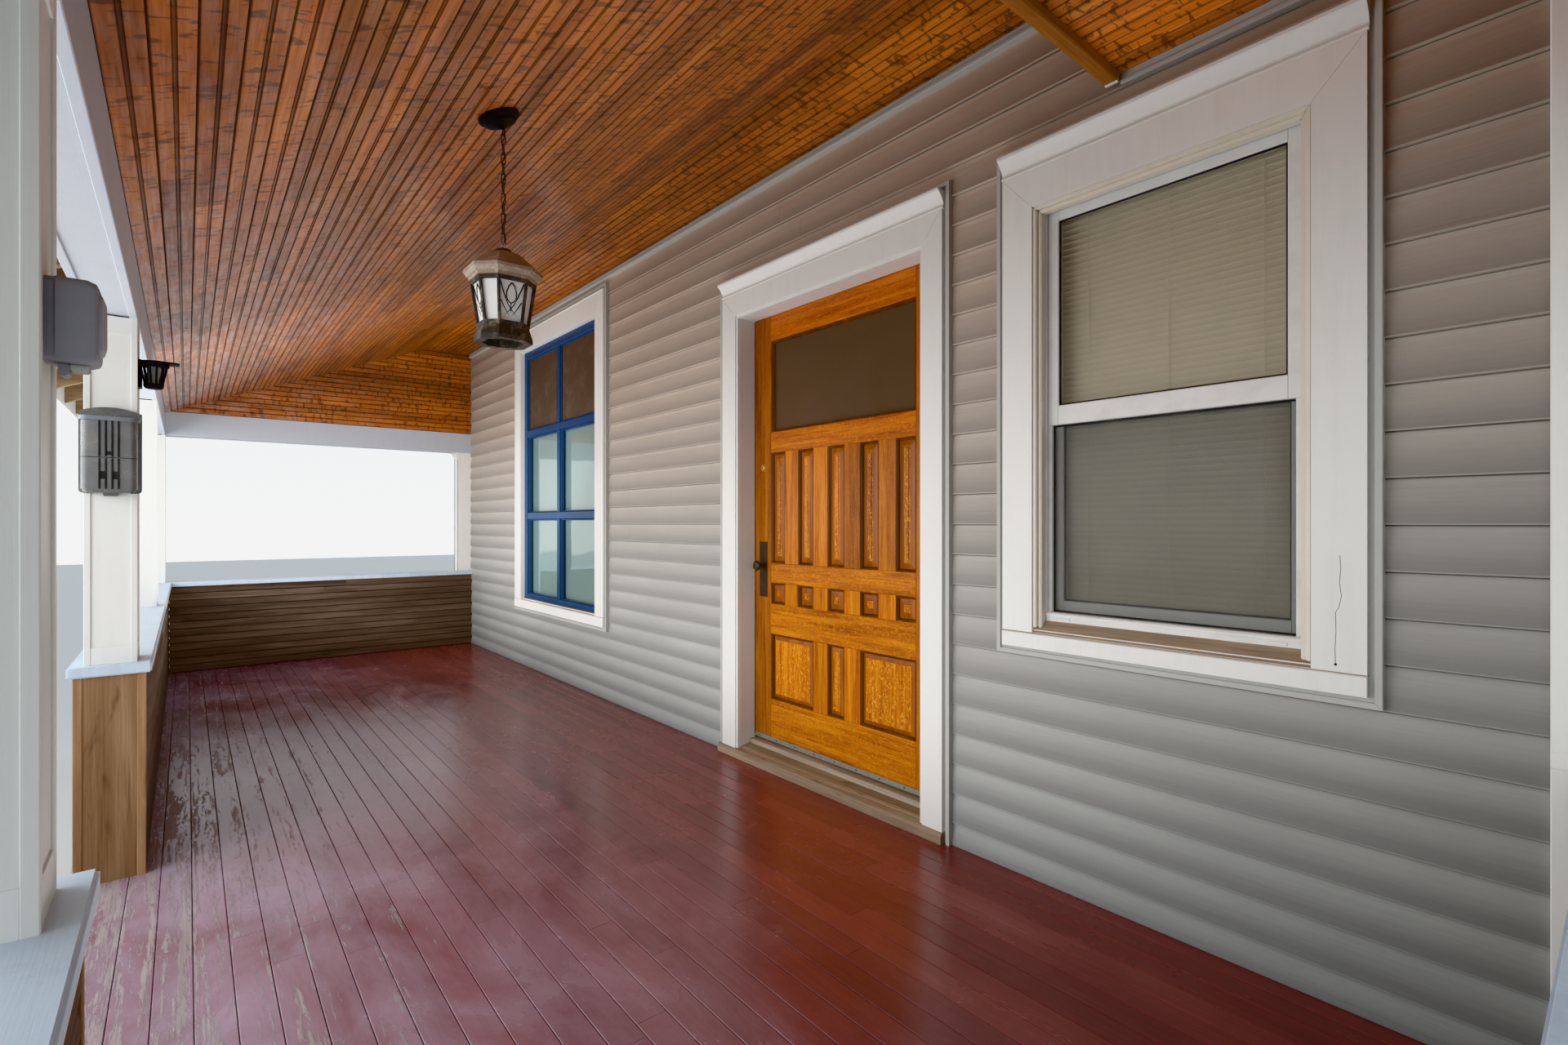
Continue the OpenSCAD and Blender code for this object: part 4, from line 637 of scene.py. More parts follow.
def siding():
    """Laps with a rolled lip at the foot and a face that bows out a little, between channels."""
    frames = [(DOOR_OUT, 0, DOOR_OUT_TOP + CROWN_D),
              (WIN_OUT, WIN_SILL[0] - CHANNEL_W, WIN_OUT_TOP + CROWN_D),
              (BLUE_OUT, BLUE_SILL[0] - CHANNEL_W, BLUE_OUT_TOP)]
    cover, outside, lip = CHANNEL_W - 7, -9, 1.2
    blocks = [(*inset(u, -cover), low, high + cover) for u, low, high in frames]
    blocks += [(*u, -10, RAIL_H) for u in both((outside, RAIL_T))]
    blocks += [(*u, RAIL_TOP, RAIL_H) for u in both((outside, RAIL_T + CAP_OVER))]
    blocks.append((outside, CORNER[1], -10, DROP_H))

    m = Maker("siding_laps", "siding_vinyl", slot="siding")
    bow = [(0.0, lip), (0.012, 0.2), (0.03, 0.0)]
    bow += [(t, 11 * t - 3.4 * math.sin(math.pi * t) + 1.2) for t in (0.08, 0.2, 0.35, 0.5, 0.65, 0.8, 0.92)]
    bow += [(0.965, 9.8), (1.0, 12.5)]
    for course in range(-1, math.ceil((FLAT_H - LAP_FIRST) / LAP)):
        low = LAP_FIRST + course * LAP
        first, last = max(low, 0), min(low + LAP, FLAT_H)
        levels = sorted({first, last} | {x for b in blocks for x in b[2:] if first < x < last})
        shift = RANDOM.random()
        for h in zip(levels, levels[1:]):
            foot, head = (V_LAP + read_off(bow, (y - low) / LAP) for y in h)
            face = [(V_LAP + depth, low + t * LAP) for t, depth in bow if h[0] < low + t * LAP < h[1]]
            section = [(foot + (lip if h[0] == low else 0), h[0]), *face, (head, h[1]), (V_SHEATH, h[1]),
                       (V_SHEATH, h[0])]
            for u in free_spans(CEILING, h, blocks):
                cuts = [x for x in (2100 + 900 * shift, 4300 + 300 * shift, 6500 + 500 * shift)
                        if u[0] + 300 < x < u[1] - 300]
                for piece in zip([u[0], *cuts], [*cuts, u[1]]):
                    m.prism("u", section, inset(piece, 0.4))
    m.make("siding", smooth=40)

    # Channels round the openings, under the ceiling and along the deck
    m = Maker("siding_channels", "channel_vinyl", "siding_vinyl", slot="siding")
    for u, low, high in frames:
        mitred_ring(m, inset(u, -CHANNEL_W), (low, high + CHANNEL_W), 15, (V_CHANNEL, V_SHEATH), low > 0)
        mitred_ring(m, inset(u, -13), (low + 15 if low else 0, high + 13), 12.7, (V_CHANNEL + 7, V_SHEATH),
                    low > 0)
    for u, top in (((DROP_END, CEILING[1]), FLAT_H), ((CORNER[1], DROP_END - 45), DROP_H)):
        m.board(u, (V_CHANNEL, V_SHEATH), (top - 40, top - 26))
        m.board(u, (V_CHANNEL + 8, V_SHEATH), (top - 27, top), 1)
    for u in ((CORNER[1], DOOR_OUT[0] - CHANNEL_W), (DOOR_OUT[1] + CHANNEL_W, LENGTH - RAIL_T)):
        m.board(u, (V_LAP - 1, V_SHEATH), (0, 20), finish=1)
    m.make()


def bead_rows(v, h, run, step, pitch=0):
    """Outlines of ceiling boards side by side, each with a bead along its middle."""
    depth, half = BOARD_T - 0.5, step / 2
    board = mirrored([(0.6, depth), (0.6, 4.0), (2.6, 0.3), (half - 6.0, 0.0), (half - 5.0, 3.2),
                      (half - 3.4, 3.4), (half - 2.6, 1.0), (half - 1.2, 0.0)], step)
    for i in range(round(run / step)):
        yield [turned(v, h, pitch, i * step + x, y) for x, y in board]


def ceilings():
    for name, look, rows in (
            ("ceiling_boards", "slope", bead_rows(BEAM_IN, BEAM_H + BEAM_D, SLOPE_RUN, SLOPE_STEP, PITCH)),
            ("ceiling_boards_flat", "flat", bead_rows(BREAK_V, FLAT_H, V_SHEATH - BREAK_V, FLAT_STEP))):
        m = Maker(name, "bead_board_" + look, slot="bead_board")
        for section in rows:
            m.runs("u", section, CEILING, 380, 1700, 0.4)
        m.make("ceiling_" + look)

    # Dropped ceiling over the near end, its upright side and the batten along its edge
    m = Maker("ceiling_boards_drop", "bead_board_drop", "batten_wood", "white_vinyl", slot="bead_board")
    for section in bead_rows(DROP_V, DROP_H, V_LAP - DROP_V, DROP_STEP):
        m.prism("u", section, (CEILING[0], DROP_END - 12.2))
    base, rows = DROP_H + BOARD_T, 4
    m.prism("u", [(DROP_V + 2, DROP_H), (V_LAP, DROP_H), (V_LAP, base), (ceiling_v(base), base)],
            (DROP_END - 12, DROP_END))
    step = (FLAT_H - base) / rows
    for i in range(rows):
        m.prism("v", shifted(DROP_END, base + i * step, (-12, 0), (-1.5, 0), (0, 2), (0, step - 2),
                             (-1.5, step), (-12, step)), (lambda p: ceiling_v(p[1]), V_LAP), 1)
    m.prism("v", shifted(DROP_END, DROP_H, (-45, 0), (-45, -26), (-41, -30), (-4, -30), (0, -26), (0, 0)),
            (lambda p: ceiling_v(p[1]) + 0.3, V_CHANNEL - 14), 1)
    m.board((DROP_END - 42, DROP_END - 2), (V_CHANNEL - 14, V_CHANNEL - 0.3),
            (DROP_H - 34, DROP_H - 0.3), 3, 2)
    m.make("ceiling_drop")


def gables():
    """Horizontal boards on both faces of each gable."""
    m = Maker("gable_boards", "bead_board_gable", slot="bead_board")
    for a, b in both(BEAM_V):
        for low, high in strips((GABLE_FOOT, GABLE_TOP), GABLE_STEP, 0.4):
            mid = (low + high) / 2
            section = mirrored([(a + 3, low), (a, low + 3), (a, mid - 4), (a + 3, mid - 2), (a + 3, mid + 2),
                                (a, mid + 4), (a, high - 3), (a + 3, high)], a + b)
            if high > GABLE_TOP - 1:
                section = [(a + 3, low), (a, low + 3), (a, high), (b, high), (b, low + 3), (b - 3, low)]
            m.prism("v", section, (lambda p: BEAM_IN + (p[1] - GABLE_FOOT) / TAN, V_SHEATH))
    m.make("gable_panels")


def half_walls():
    """Lapped boards on both faces of a solid core, with an upright board at each free end."""
    rows, h, cap_h = 12, (0, RAIL_TOP), (RAIL_TOP, RAIL_H)
    step = RAIL_TOP / rows
    sides = ((0, -1, STAIR[0]), (LENGTH, 1, STAIR[1]))

    def laps(face, out):
        for i in range(rows):
            yield [(face + out * x, i * step + y)
                   for x, y in ((11, 6), (11, step), (8, step), (0.6, 8.5), (1.6, 6))]

    m = Maker("front_half_wall_boards", "brown_boards", "golden_board", "brown_boards_up", "dark_gap",
              slot="stained_boards")
    for corner, way, free in sides:
        # The core is dark: painted shadow in the gaps between the laps
        m.board((corner - way * 22, free + way * 12), (10, RAIL_T - 10), h, 0.5, 3)
        for face, out in ((0, 1), (RAIL_T, -1)):
            for section in laps(face, out):
                m.runs("u", section, sorted((corner - way * 20, free + way * 22)), 1500, 3800, 0.3)
        # Board and edge strips on the end beside the stair, and a corner board at the other end
        m.board((free + way * 3, free + way * 14), (12, RAIL_T - 12), h, 1, 1)
        for v in ends((0, RAIL_T), 24):
            m.board((free, free + way * 22), v, h, finish=1)
        m.board((corner, corner - way * 20), (0, 90), h, finish=2)
    m.make("front_half_walls")

    m = Maker("end_half_wall_boards", "brown_boards_end", "dark_gap", slot="stained_boards")
    for corner, way, _ in sides:
        inner = corner - way * RAIL_T
        # Its core is dark too: painted shadow in the gaps between the laps
        m.board((corner - way * 10, inner + way * 10), (RAIL_T, V_SHEATH), h, 0.5, 1)
        for face, out in ((corner, -way), (inner, way)):
            for section in laps(face, out):
                for a, b in lengths((RAIL_T - 10, V_SHEATH), 1100, 2600):
                    m.prism("v", section, inset((max(RAIL_T, a), b), 0.3))
    m.make("end_half_walls")

    m = Maker("cap_boards", "cap_paint", slot="cap_paint")
    inner = RAIL_T + CAP_OVER
    for corner, way, free in sides:
        edge = free - way * CAP_OVER
        m.prism("h", [(corner + way * CAP_OVER, -CAP_OVER), (edge, -CAP_OVER), (edge, inner),
                      (corner - way * (inner + 0.4), inner)], cap_h)
    for corner, way, _ in sides:
        m.prism("h", [(corner - way * x, y) for x, y in ((-CAP_OVER, -CAP_OVER + 0.4), (inner, inner + 0.4),
                                                         (inner, V_SHEATH), (-CAP_OVER, V_SHEATH))], cap_h)
    m.make("front_caps", "end_caps", bevel=5, segments=3, smooth=35)


def posts():
    m = Maker("post_boards", "white_upright", slot="white_trim")
    h = (RAIL_H, BEAM_H)
    for start in POSTS:
        u = (start, start + POST_W)
        m.board(inset(u, 4), inset(BEAM_V, 4), h, 0.5)
        for x in ends(u, 18):
            for y in ends(BEAM_V, 18):
                m.board(x, y, h, 1.5)
        for z in ends(h, 60):
            m.board(inset(u, 18), inset(BEAM_V, 1), z, 1)
            m.board(inset(u, 1), inset(BEAM_V, 18), z, 1)
    m.make("posts")

    m = Maker("half_posts", "white_upright", slot="white_trim")
    r, front = 60, V_SHEATH - 140
    section = [(V_SHEATH, RAIL_H), (V_SHEATH, BEAM_H), *arc(front - r, BEAM_H - r, r, 0, 10)[::-1],
               (front, RAIL_H)]
    for u in both(BEAM_V):
        for x in (inset(u, 4), *ends(u, 18)):
            m.prism("u", section, x)
    m.make("pilasters", bevel=1.5)


def beams():
    """Boxed beams: side boards with a soffit set up between them."""
    m = Maker("beam_boards", "beam_paint", slot="white_trim")
    side, run = 22, inset((0, LENGTH), POST_IN)
    top = BEAM_H + BEAM_D + TILTED_T
    h, soffit = (BEAM_H, top), (BEAM_H + 5, top - 1)
    for v in ends(BEAM_V, side):
        for u in lengths(run, 2200, 4800):
            m.board(inset(u, 0.3), v, h)
    m.board(inset(run, 1), inset(BEAM_V, side), soffit, 1)
    for u in both(BEAM_V):
        for x in ends(u, side):
            m.board(x, (BEAM_IN + 0.3, V_SHEATH), h)
        m.board(inset(u, side), (BEAM_IN + 0.3, V_SHEATH - 1), soffit, 1)
    m.make("front_beam", "end_beams")


def roof():
    eave, rake, fascia_t, drip_over, sheet_t, shingle_w = 300, 200, 25, 20, 14, 330
    tail = POST_IN - eave
    drip = tail - fascia_t - drip_over
    span = (-rake, LENGTH + rake)

    def soffit(v):
        return ceiling_h(v) + TILTED_T

    def under(v):
        return soffit(v) + RAFTER_D / COS

    m = Maker("roof_sheathing", "rough_timber", slot="shingles")
    m.prism("u", [(v, under(v) + lift) for v, lift in ((drip, 0.5), (V_SHEATH, 0.5), (V_SHEATH, sheet_t),
                                                       (drip, sheet_t))], span)
    m.make("roof_deck")
    m = Maker("roof_shingles", "shingle", slot="shingles")
    run, base = (V_SHEATH - drip) / COS, under(drip) + sheet_t
    rows = round(run / 138)
    step = run / rows
    for i in range(rows):
        s0, s1 = i * step, min(i * step + step * 1.25, run)
        start = span[0] - RANDOM.uniform(0, 0.6) * shingle_w
        while start < span[1]:
            a, b = max(start, span[0]), min(start + shingle_w - 5, span[1])
            if b - a > 20:
                lift = RANDOM.uniform(0, 1.5)
                section = [(s0, 1), (s0, 9 + lift), (s1, 5 if i < rows - 1 else 6), (s1, 0.5)]
                m.prism("u", [turned(drip, base, PITCH, *spot) for spot in section], (a, b))
            start += shingle_w
    m.make()

    m = Maker("fascia_boards", "white_trim", slot="white_trim")
    front, low = tail - fascia_t, soffit(tail) - 20
    section = [(front, low), (tail, low), (tail, under(tail) - 0.3), (front, under(front) - 0.3)]
    m.runs("u", section, span, 2400, 4800, 0.3)
    for x in ends(span, fascia_t):
        m.prism("u", [(tail + 0.3, soffit(tail)), (V_SHEATH, soffit(V_SHEATH)),
                      (V_SHEATH, under(V_SHEATH) - 0.3), (tail + 0.3, under(tail) - 0.3)], x)
    m.make("fascia", "rake_boards", bevel=2)


def crown(m, u, low):
    """Crown over a head casing: a bead, a cove that leans outwards and a fillet."""
    back = V_SHEATH - V_CASING
    bead = [(1.5 - 2.5 * y, 5.5 - 5.5 * x) for x, y in circle(1, 12)[:7]]
    cove = [(5 - 30 * (k / 7) ** 1.5, 17 + 44 * k / 7) for k in range(8)]
    m.prism("u", shifted(V_CASING, low, (back, 0), *bead, (5, 11), *cove, (-30, 62), (-30, CROWN_D),
                         (back, CROWN_D)), inset(u, -4), 1)


def door_surround():
    m = Maker("door_casing_boards", "white_upright", "white_trim", slot="white_trim")
    opening, strip = (*DOOR_IN, DOOR_IN_TOP), (*inset(DOOR_IN, 14), DOOR_IN_TOP - 14)
    mitred_frame(m, (*DOOR_OUT, DOOR_OUT_TOP), opening, (V_CASING, V_SHEATH), 45, 1)
    crown(m, DOOR_OUT, DOOR_OUT_TOP)
    mitred_frame(m, opening, strip, (V_CASING + 6, V_CASING + 30), 47)
    m.make("door_casing", bevel=1.2)


def door_sill():
    """Two boards side by side whose fronts are worn round, then the raised nosing."""
    m = Maker("door_sill_boards", "weathered_wood", "weathered_nosing", slot="weathered_wood")
    front, mid, ledge, low, high, nose = V_CASING - 12, 2548, V_BACK - 90, 42, 64, 86
    rough = inset(DOOR, -32)

    def top(v):
        return at((low, high), (v - front) / (ledge - front))

    m.prism("u", [(front, 0), (front, 34), (front + 3, 39), (front + 9, top(front + 9)),
                  (mid - 2, top(mid) - 0.6), (mid, top(mid) - 3), (mid, 0)], SILL_U)
    m.prism("u", [(mid + 0.8, 0), (mid + 0.8, top(mid) - 3), (mid + 3, top(mid)), (V_SHEATH, top(V_SHEATH)),
                  (V_SHEATH, 0)], SILL_U)
    m.prism("u", [(V_SHEATH + 0.2, 0), (V_SHEATH + 0.2, top(V_SHEATH)), (ledge, high), (ledge, 0)], rough)
    m.prism("u", shifted(ledge, nose, (0.3, -nose), (0.3, -7), (4, -1), (9, 0), (90, 0), (90, -nose)),
            rough, 1)
    m.make("door_sill", bevel=0.8)


def column(i):
    start = LEAF[0] + STILE + i * (PANEL_W + MUNTIN)
    return (start, start + PANEL_W)


def corners(u, h, step, v):
    """Corners of an opening, brought in by a step."""
    (a, b), (low, high) = inset(u, step), inset(h, step)
    return [(a, v, low), (b, v, low), (b, v, high), (a, v, high)]


def door():
    """Oak leaf of separate members, each panel set in a moulding."""
    first, last = column(0)[0], column(4)[1]
    on_door = {"body": "front_door", "slot": "oak"}
    m = Maker("door_uprights", "oak_upright", **on_door)
    m.board((LEAF[0], first - 0.2), LEAF_V, LEAF_H)
    m.board((last + 0.2, LEAF[1]), LEAF_V, LEAF_H, tone=0.05)
    for i in range(4):
        for row in (TALL_ROW, SQUARE_ROW, LOW_ROW)[:3 if i in (1, 2) else 2]:
            m.board(inset((column(i)[1], column(i + 1)[0]), 0.2), LEAF_V, inset(row, 0.2))
    m.make("door_leaf")
    m = Maker("door_rails", "oak_rail", **on_door)
    levels = (LEAF_H[0], *LOW_ROW, *SQUARE_ROW, *TALL_ROW, *LITE, LEAF_H[1])
    for h in zip(levels[::2], levels[1::2]):
        m.board((first, last), LEAF_V, inset(h, 0.2))
    m.make()

    cells = [(column(i), row) for row in (TALL_ROW, SQUARE_ROW) for i in range(5)]
    cells += [((column(a)[0], column(b)[1]), LOW_ROW) for a, b in ((0, 1), (2, 2), (3, 4))]
    panels = Maker("door_raised_panels", "oak_panel", "oak_panel_slope", **on_door)
    edges = Maker("door_mouldings", "oak_moulding", **on_door)
    middle, core = sum(LEAF_V) / 2, 6
    # Profiles of (distance in from the edge, distance from the leaf's middle)
    panel_rim = ((0.1, 21.5), (2, 21.5), (3, 19.9), (6, 18.5), (7.5, 15), (10.5, 12.5), (11.8, 6.3),
                 (0.1, 6.3))
    glass_rim = ((0.1, 21.5), (2, 21.5), (7, 18.5), (12, 6.2), (12.5, 3.2), (0.1, 3.2))

    def rim(u, h, way, profile):
        rings = zip(*(corners(u, h, step, middle + way * out) for step, out in profile))
        edges.loft(list(rings), closed=True)

    for u, h in cells:
        panels.board(inset(u, 0.2), about(middle, core), inset(h, 0.2), 0.5)
        dark, light = (((12, 0), (12, 2), (33, 6.5)), ((33.2, 6), (44, 7), (46, 10.3)))
        if h == LOW_ROW:
            dark, light = (((12, 0), (12, 1.5), (30, 7.5)), ((30.2, 7), (30.2, 8.6), (31.5, 9.6)))
        for way in (-1, 1):
            tone = RANDOM.random()
            for steps, finish in ((dark, 1), (light, 0)):
                panels.loft([corners(u, h, step, middle + way * (core + rise)) for step, rise in steps],
                            finish, tone)
            rim(u, h, way, panel_rim)
    for way in (-1, 1):
        rim((first, last), LITE, way, glass_rim)
    panels.make("door_panels")
    edges.make()

    # Metal strip with screws along the foot, lock cylinder, and the lock plate's keyhole and screws
    m = Maker("door_fittings", "strip_metal", "aged_metal", "brass", body="front_door", slot="dark_metal")
    front, u, lock_h, plate_h, foot = LEAF_V[0], LEAF[1] - 75, 1527, 990, LEAF_H[0]
    plate = front - 3
    m.board(inset(LEAF, 3), (front - 2.5, front), (foot + 1, foot + 24), 1)
    for i in range(9):
        m.lathe((at(inset(LEAF, 40), i / 8), front - 2.4, foot + 12), "v",
                [(-1.6, 1.0), (-1.2, 3.6), (0, 4)], 10, 1)
    m.lathe((u, front, lock_h), "v", [(-9, 10.5), (-8, 15.5), (-3, 17), (-2.5, 19), (0, 19.5)], 28, 2)
    m.lathe((u, front - 9, lock_h), "v", [(-1.2, 8.0), (-0.6, 9), (0, 9)], 20, 2)
    m.board(about(u, 1.2), (front - 10.9, front - 9.5), about(lock_h, 5), 0.3, 1)
    for h in about(plate_h, 132):
        m.lathe((u, plate, h), "v", [(-1.4, 1.0), (-1.0, 3.5), (0, 4)], 12, 1)
    m.board(about(u, 22), (plate - 1.0, plate), about(plate_h, 118), 1.0, 1)
    m.board(about(u, 3), (plate - 1.6, plate - 0.8), about(plate_h - 52, 12), 0.5, 1)
    m.lathe((u, plate, plate_h - 37), "v", [(-1.8, 5.0), (-0.8, 6.5)], 16, 1)
    m.make()


def window_boards(m, outer, top, inner, inner_top, sill_h, rise):
    """Casing over a sill, with a thin brown line where its legs stand on it."""
    low, high = sill_h
    between, back = inset(inner, 0.3), V_SHEATH - V_CASING
    mitred_frame(m, (*outer, top), (*inner, inner_top), (V_CASING, V_SHEATH), high + 4, 1)
    m.board(outer, (V_CASING + 2.5, V_SHEATH), (high, high + 4), 0.4, 2)
    m.prism("u", shifted(V_CASING, high, (-4, low - high), (-4, -2.5), (-1.5, 0), (back, 0),
                         (back, low - high)), outer, 1)
    # Between the legs: bare sill that slopes up to the frame, and a white bead on it
    m.prism("u", shifted(V_CASING, high, (3, 4), (4, 6), (back, rise), (back, 4)), between, 2)
    m.prism("u", shifted(V_CASING, high, (9, 5), (9, 12), (11, 14), (16, 14.5), (16, 5)), between, 1)


def white_window():
    m = Maker("window_casing_boards", "white_upright", "white_trim", "weathered_wood", slot="white_trim")
    inner, inner_top = inset(WIN, 26), WIN_H[1] - 26
    window_boards(m, WIN_OUT, WIN_OUT_TOP, inner, inner_top, WIN_SILL, 44)
    crown(m, WIN_OUT, WIN_OUT_TOP)
    m.make("window_casing", bevel=1.2)
    # Stain that runs down from a nail
    m = Maker("casing_stain", "dark_gasket", slot="white_trim")
    path = ((628, 1152), (626, 1120), (629, 1085), (625, 1050), (630, 1022), (637, 1008), (636, 960),
            (638, 915), (637, 880))
    m.tube([(u, V_CASING + 0.2, h) for u, h in path], 0.6)
    m.lathe((637, V_CASING + 1, 877), "v", [(-2.2, 1), (-1.6, 3.2), (0, 3.4)], 10)
    m.make()

    m = Maker("window_moulding", "cream_trim", slot="white_trim")
    width = 13
    for step, v in ((0, (V_CASING + 5, V_CASING + 22)), (width, (V_CASING + 17, V_SHEATH))):
        outer, inside = ((*inset(inner, d), inner_top - d) for d in (step, step + width))
        mitred_frame(m, outer, inside, v, WIN_SILL[1] + 21)
    m.make(bevel=2.5, segments=2, smooth=40)

    m = Maker("window_sashes", "white_vinyl", "dark_gasket", slot="white_vinyl")
    foot, head = WIN_H
    ring_boards(m, WIN, WIN_H, 54, 41, 58, behind(0.3, 95), 3)
    # Nose strip, weep covers and the raised edge of the frame
    m.board(inset(WIN, 50), behind(-3, 0.3), (foot + 44, foot + 54), 1.5)
    for x in ends(inset(WIN, 90), 50):
        m.board(x, behind(-2.5, 0.3), (foot + 33, foot + 40), 1)
    for x in ends(inset(WIN, 40), 10):
        m.board(x, behind(-4, 0.3), inset(WIN_H, 30), 1.5)
    m.board(inset(WIN, 40), behind(-4, 0.3), (head - 38, head - 28), 1.5)
    sash, meet = inset(WIN, 54), 1602
    upper, lower = (meet - 33, head - 41), (foot + 58, meet + 33)
    upper_v, lower_v = behind(12, 44), behind(44.2, 76)
    sashes = ((upper, 38, 66, upper_v), (lower, 66, 38, lower_v))
    for h, top, bottom, v in sashes:
        ring_boards(m, sash, h, 38, top, bottom, v)
    for h, top, bottom, v in sashes:
        ring_boards(m, inset(sash, 37), (h[0] + bottom - 1, h[1] - top + 1), 6, 6, 6,
                    (v[0] + 7, v[0] + 12), 1, 1)
    # Tracks of the screen beside the lower sash, and sash locks on the meeting rail
    for x in ((sash[0] - 1, sash[0] + 20), (sash[1] - 12, sash[1] + 1)):
        m.board(x, behind(16, 29.7), (lower[0] - 1, meet - 33.4), 1.5)
    for t in (0.28, 0.72):
        m.board(about(at(sash, t), 22), (lower_v[0] + 6, lower_v[1] - 4),
                (lower[1], lower[1] + 10), 3)
    m.make("window_frame")

    # Insect screen over the lower sash: a thin frame and its mesh
    m = Maker("window_screen", "dark_gasket", "insect_screen", slot="white_vinyl")
    edge = (sash[0] + 18, sash[1] - 10)
    mitred_ring(m, edge, (lower[0] + 1, meet - 34), 4, behind(30, 36))
    m.board(edge, behind(32, 32.5), (lower[0] + 2, meet - 35), 0.1, 1)
    m.make()

    # Closed slats of the blind, with its ladder cords
    m = Maker("blind_slats", "blind_slats", slot="blind")
    pitch, wide, mid, low, high = 21.0, 25.0, V_SHEATH + 89, foot + 14, head - 42
    tilt = math.radians(77)
    slat = [((k / 4 - 0.5) * wide, 0.9 * (1 - (k / 2 - 1) ** 2)) for k in range(5)]
    h = low
    while h + 12 < high:
        face = [turned(mid, h + 12, tilt, *spot) for spot in slat]
        m.prism("u", face + shifted(0.5, 0.1, *face[::-1]), inset(sash, 1))
        h += pitch
    for t in (0.15, 0.5, 0.85):
        m.board(about(at(sash, t), 0.9), (mid - 9.5, mid - 8.3), (low, high), 0.3)
    m.make("window_blind", smooth=50)


def blue_window():
    m = Maker("blue_window_boards", "white_upright", "white_trim", "weathered_wood", slot="white_trim")
    window_boards(m, BLUE_OUT, BLUE_OUT_TOP, inset(BLUE, 0.3), BLUE_H[1] + 0.3, BLUE_SILL, 21)
    # A cap strip over the head
    m.board(inset(BLUE_OUT, 2), (V_CASING - 3, V_CASING + 2), (BLUE_OUT_TOP - 12, BLUE_OUT_TOP - 1),
            finish=1)
    m.make("blue_window_casing", bevel=1.2)

    # Bars in front of the glass, with beads round the panes, and plain ones behind it
    m = Maker("blue_window_bars", "blue_paint", slot="blue_paint")
    side, bar, middle, low_bar, high_bar = 66, 25, sum(BLUE) / 2, about(1296, 29), about(2002, 29)
    low, high = ends(BLUE_H, side)
    front, between = behind(-10, 40), inset(BLUE, side)
    panes = ((between[0], middle - bar), (middle + bar, between[1]))
    glass_back = front[1] + GLASS_T
    for v, edge in ((front, 4), ((glass_back + 0.3, glass_back + 16), 3)):
        for u in ends(BLUE, side):
            m.board(u, v, BLUE_H, edge)
        for h in (low, high, low_bar, high_bar):
            m.board(between, v, h, edge)
        for h in ((low[1], low_bar[0]), (low_bar[1], high_bar[0]), (high_bar[1], high[0])):
            m.board(about(middle, bar), v, h, edge)
            if v == front:
                for u in panes:
                    ring_boards(m, inset(u, 0.2), inset(h, 0.2), 10, 10, 10, (v[0] + 14, v[1] - 12))
    # Bead that has sagged under the upper cross bar
    m.tube([(at(inset(BLUE, side + 4), t), front[0] - 1.5, 1975 - 16 * math.sin(math.pi * t))
            for t in (k / 12 for k in range(13))], 3)
    m.make("blue_window_frame")

    m = Maker("blue_window_screens", "brown_screen", slot="blue_paint")
    for u in panes:
        m.board(inset(u, 10), (front[0] + 22, front[0] + 22.6), (high_bar[1] + 10, high[0] - 10), 0.1)
    m.make()


def letter_box():
    """Open smoked box: rounded foot, ribs, a rim, and a split and small openings drawn as dark pieces:
    painted shadow.
    """
    m = Maker("letter_box_shell", "smoked_plastic", "smoked_rim", "dark_gasket", slot="smoked_plastic")
    at_u, at_v, base, top, rim = POSTS[2], POST_IN + POST_W / 2, 1337, 280, 258

    def plan(shrink):
        """Round three sides of the box, from back to back."""
        half, depth, r = 77 - shrink, 88 - shrink, max(26 - shrink, 4)
        half_plan = [(half, 0)] + arc(half - r, depth - r, r, 0, 6)
        return [(at_u - out, at_v + x) for x, out in mirrored(half_plan, 0)]

    def upright(spots, low, high):
        m.prism("h", [(at_u - out, at_v + x) for x, out in spots], (base + low, base + high), 2, 0.2)

    def outward(spots, near, far, finish, tone):
        m.prism("u", shifted(at_v, base, *spots), (at_u - near, at_u - far), finish, tone)

    # The ring from 118 to 120 is the split: a dark recessed band, painted shadow
    for low, high, shrink, thick, finish in ((0, 4, 16, 8, 0), (4, 11, 10, 6, 0), (11, 118, 6, 4, 0),
                                             (118, 120, 8.5, 2, 2), (120, rim - 14, 6, 4, 0),
                                             (rim - 14, rim, 0, 5, 1)):
        m.loft([[(*a, base + low), (*b, base + low), (*b, base + high), (*a, base + high)]
                for a, b in zip(plan(shrink), plan(shrink + thick))], finish, 0.5)
    # Floor, and back plate with its curved top and the tab below
    m.prism("h", plan(18), (base, base + 4), tone=0.5)
    plate = [(x * 81, top + 18 * (1 - x * x)) for x in (1 - k / 8 for k in range(17))]
    foot = mirrored([(-81, 10), (-78, 3), (-70, 0), (-20, 0), (-18, -10)], 0)
    outward(foot + plate, 0, 6, 0, 0.3)
    for x in (-24, -8, 8, 24):
        for low, high in ((13, 116), (122, rim - 15)):
            upright([(x - 2.5, 82), (x - 1.5, 85), (x + 1.5, 85), (x + 2.5, 82)], low, high)
    # Two slots and a round opening on the front: dark pieces, painted shadow
    for x in (-16, 16):
        upright([(x - 5, 81.5), (x - 5, 83.5), (x + 5, 83.5), (x + 5, 81.5)], 46, 72)
    outward([(9 * x, 134 + 6 * y) for x, y in circle(1, 20)], 81.5, 83.2, 2, 0.2)
    m.make("letter_box", smooth=35)


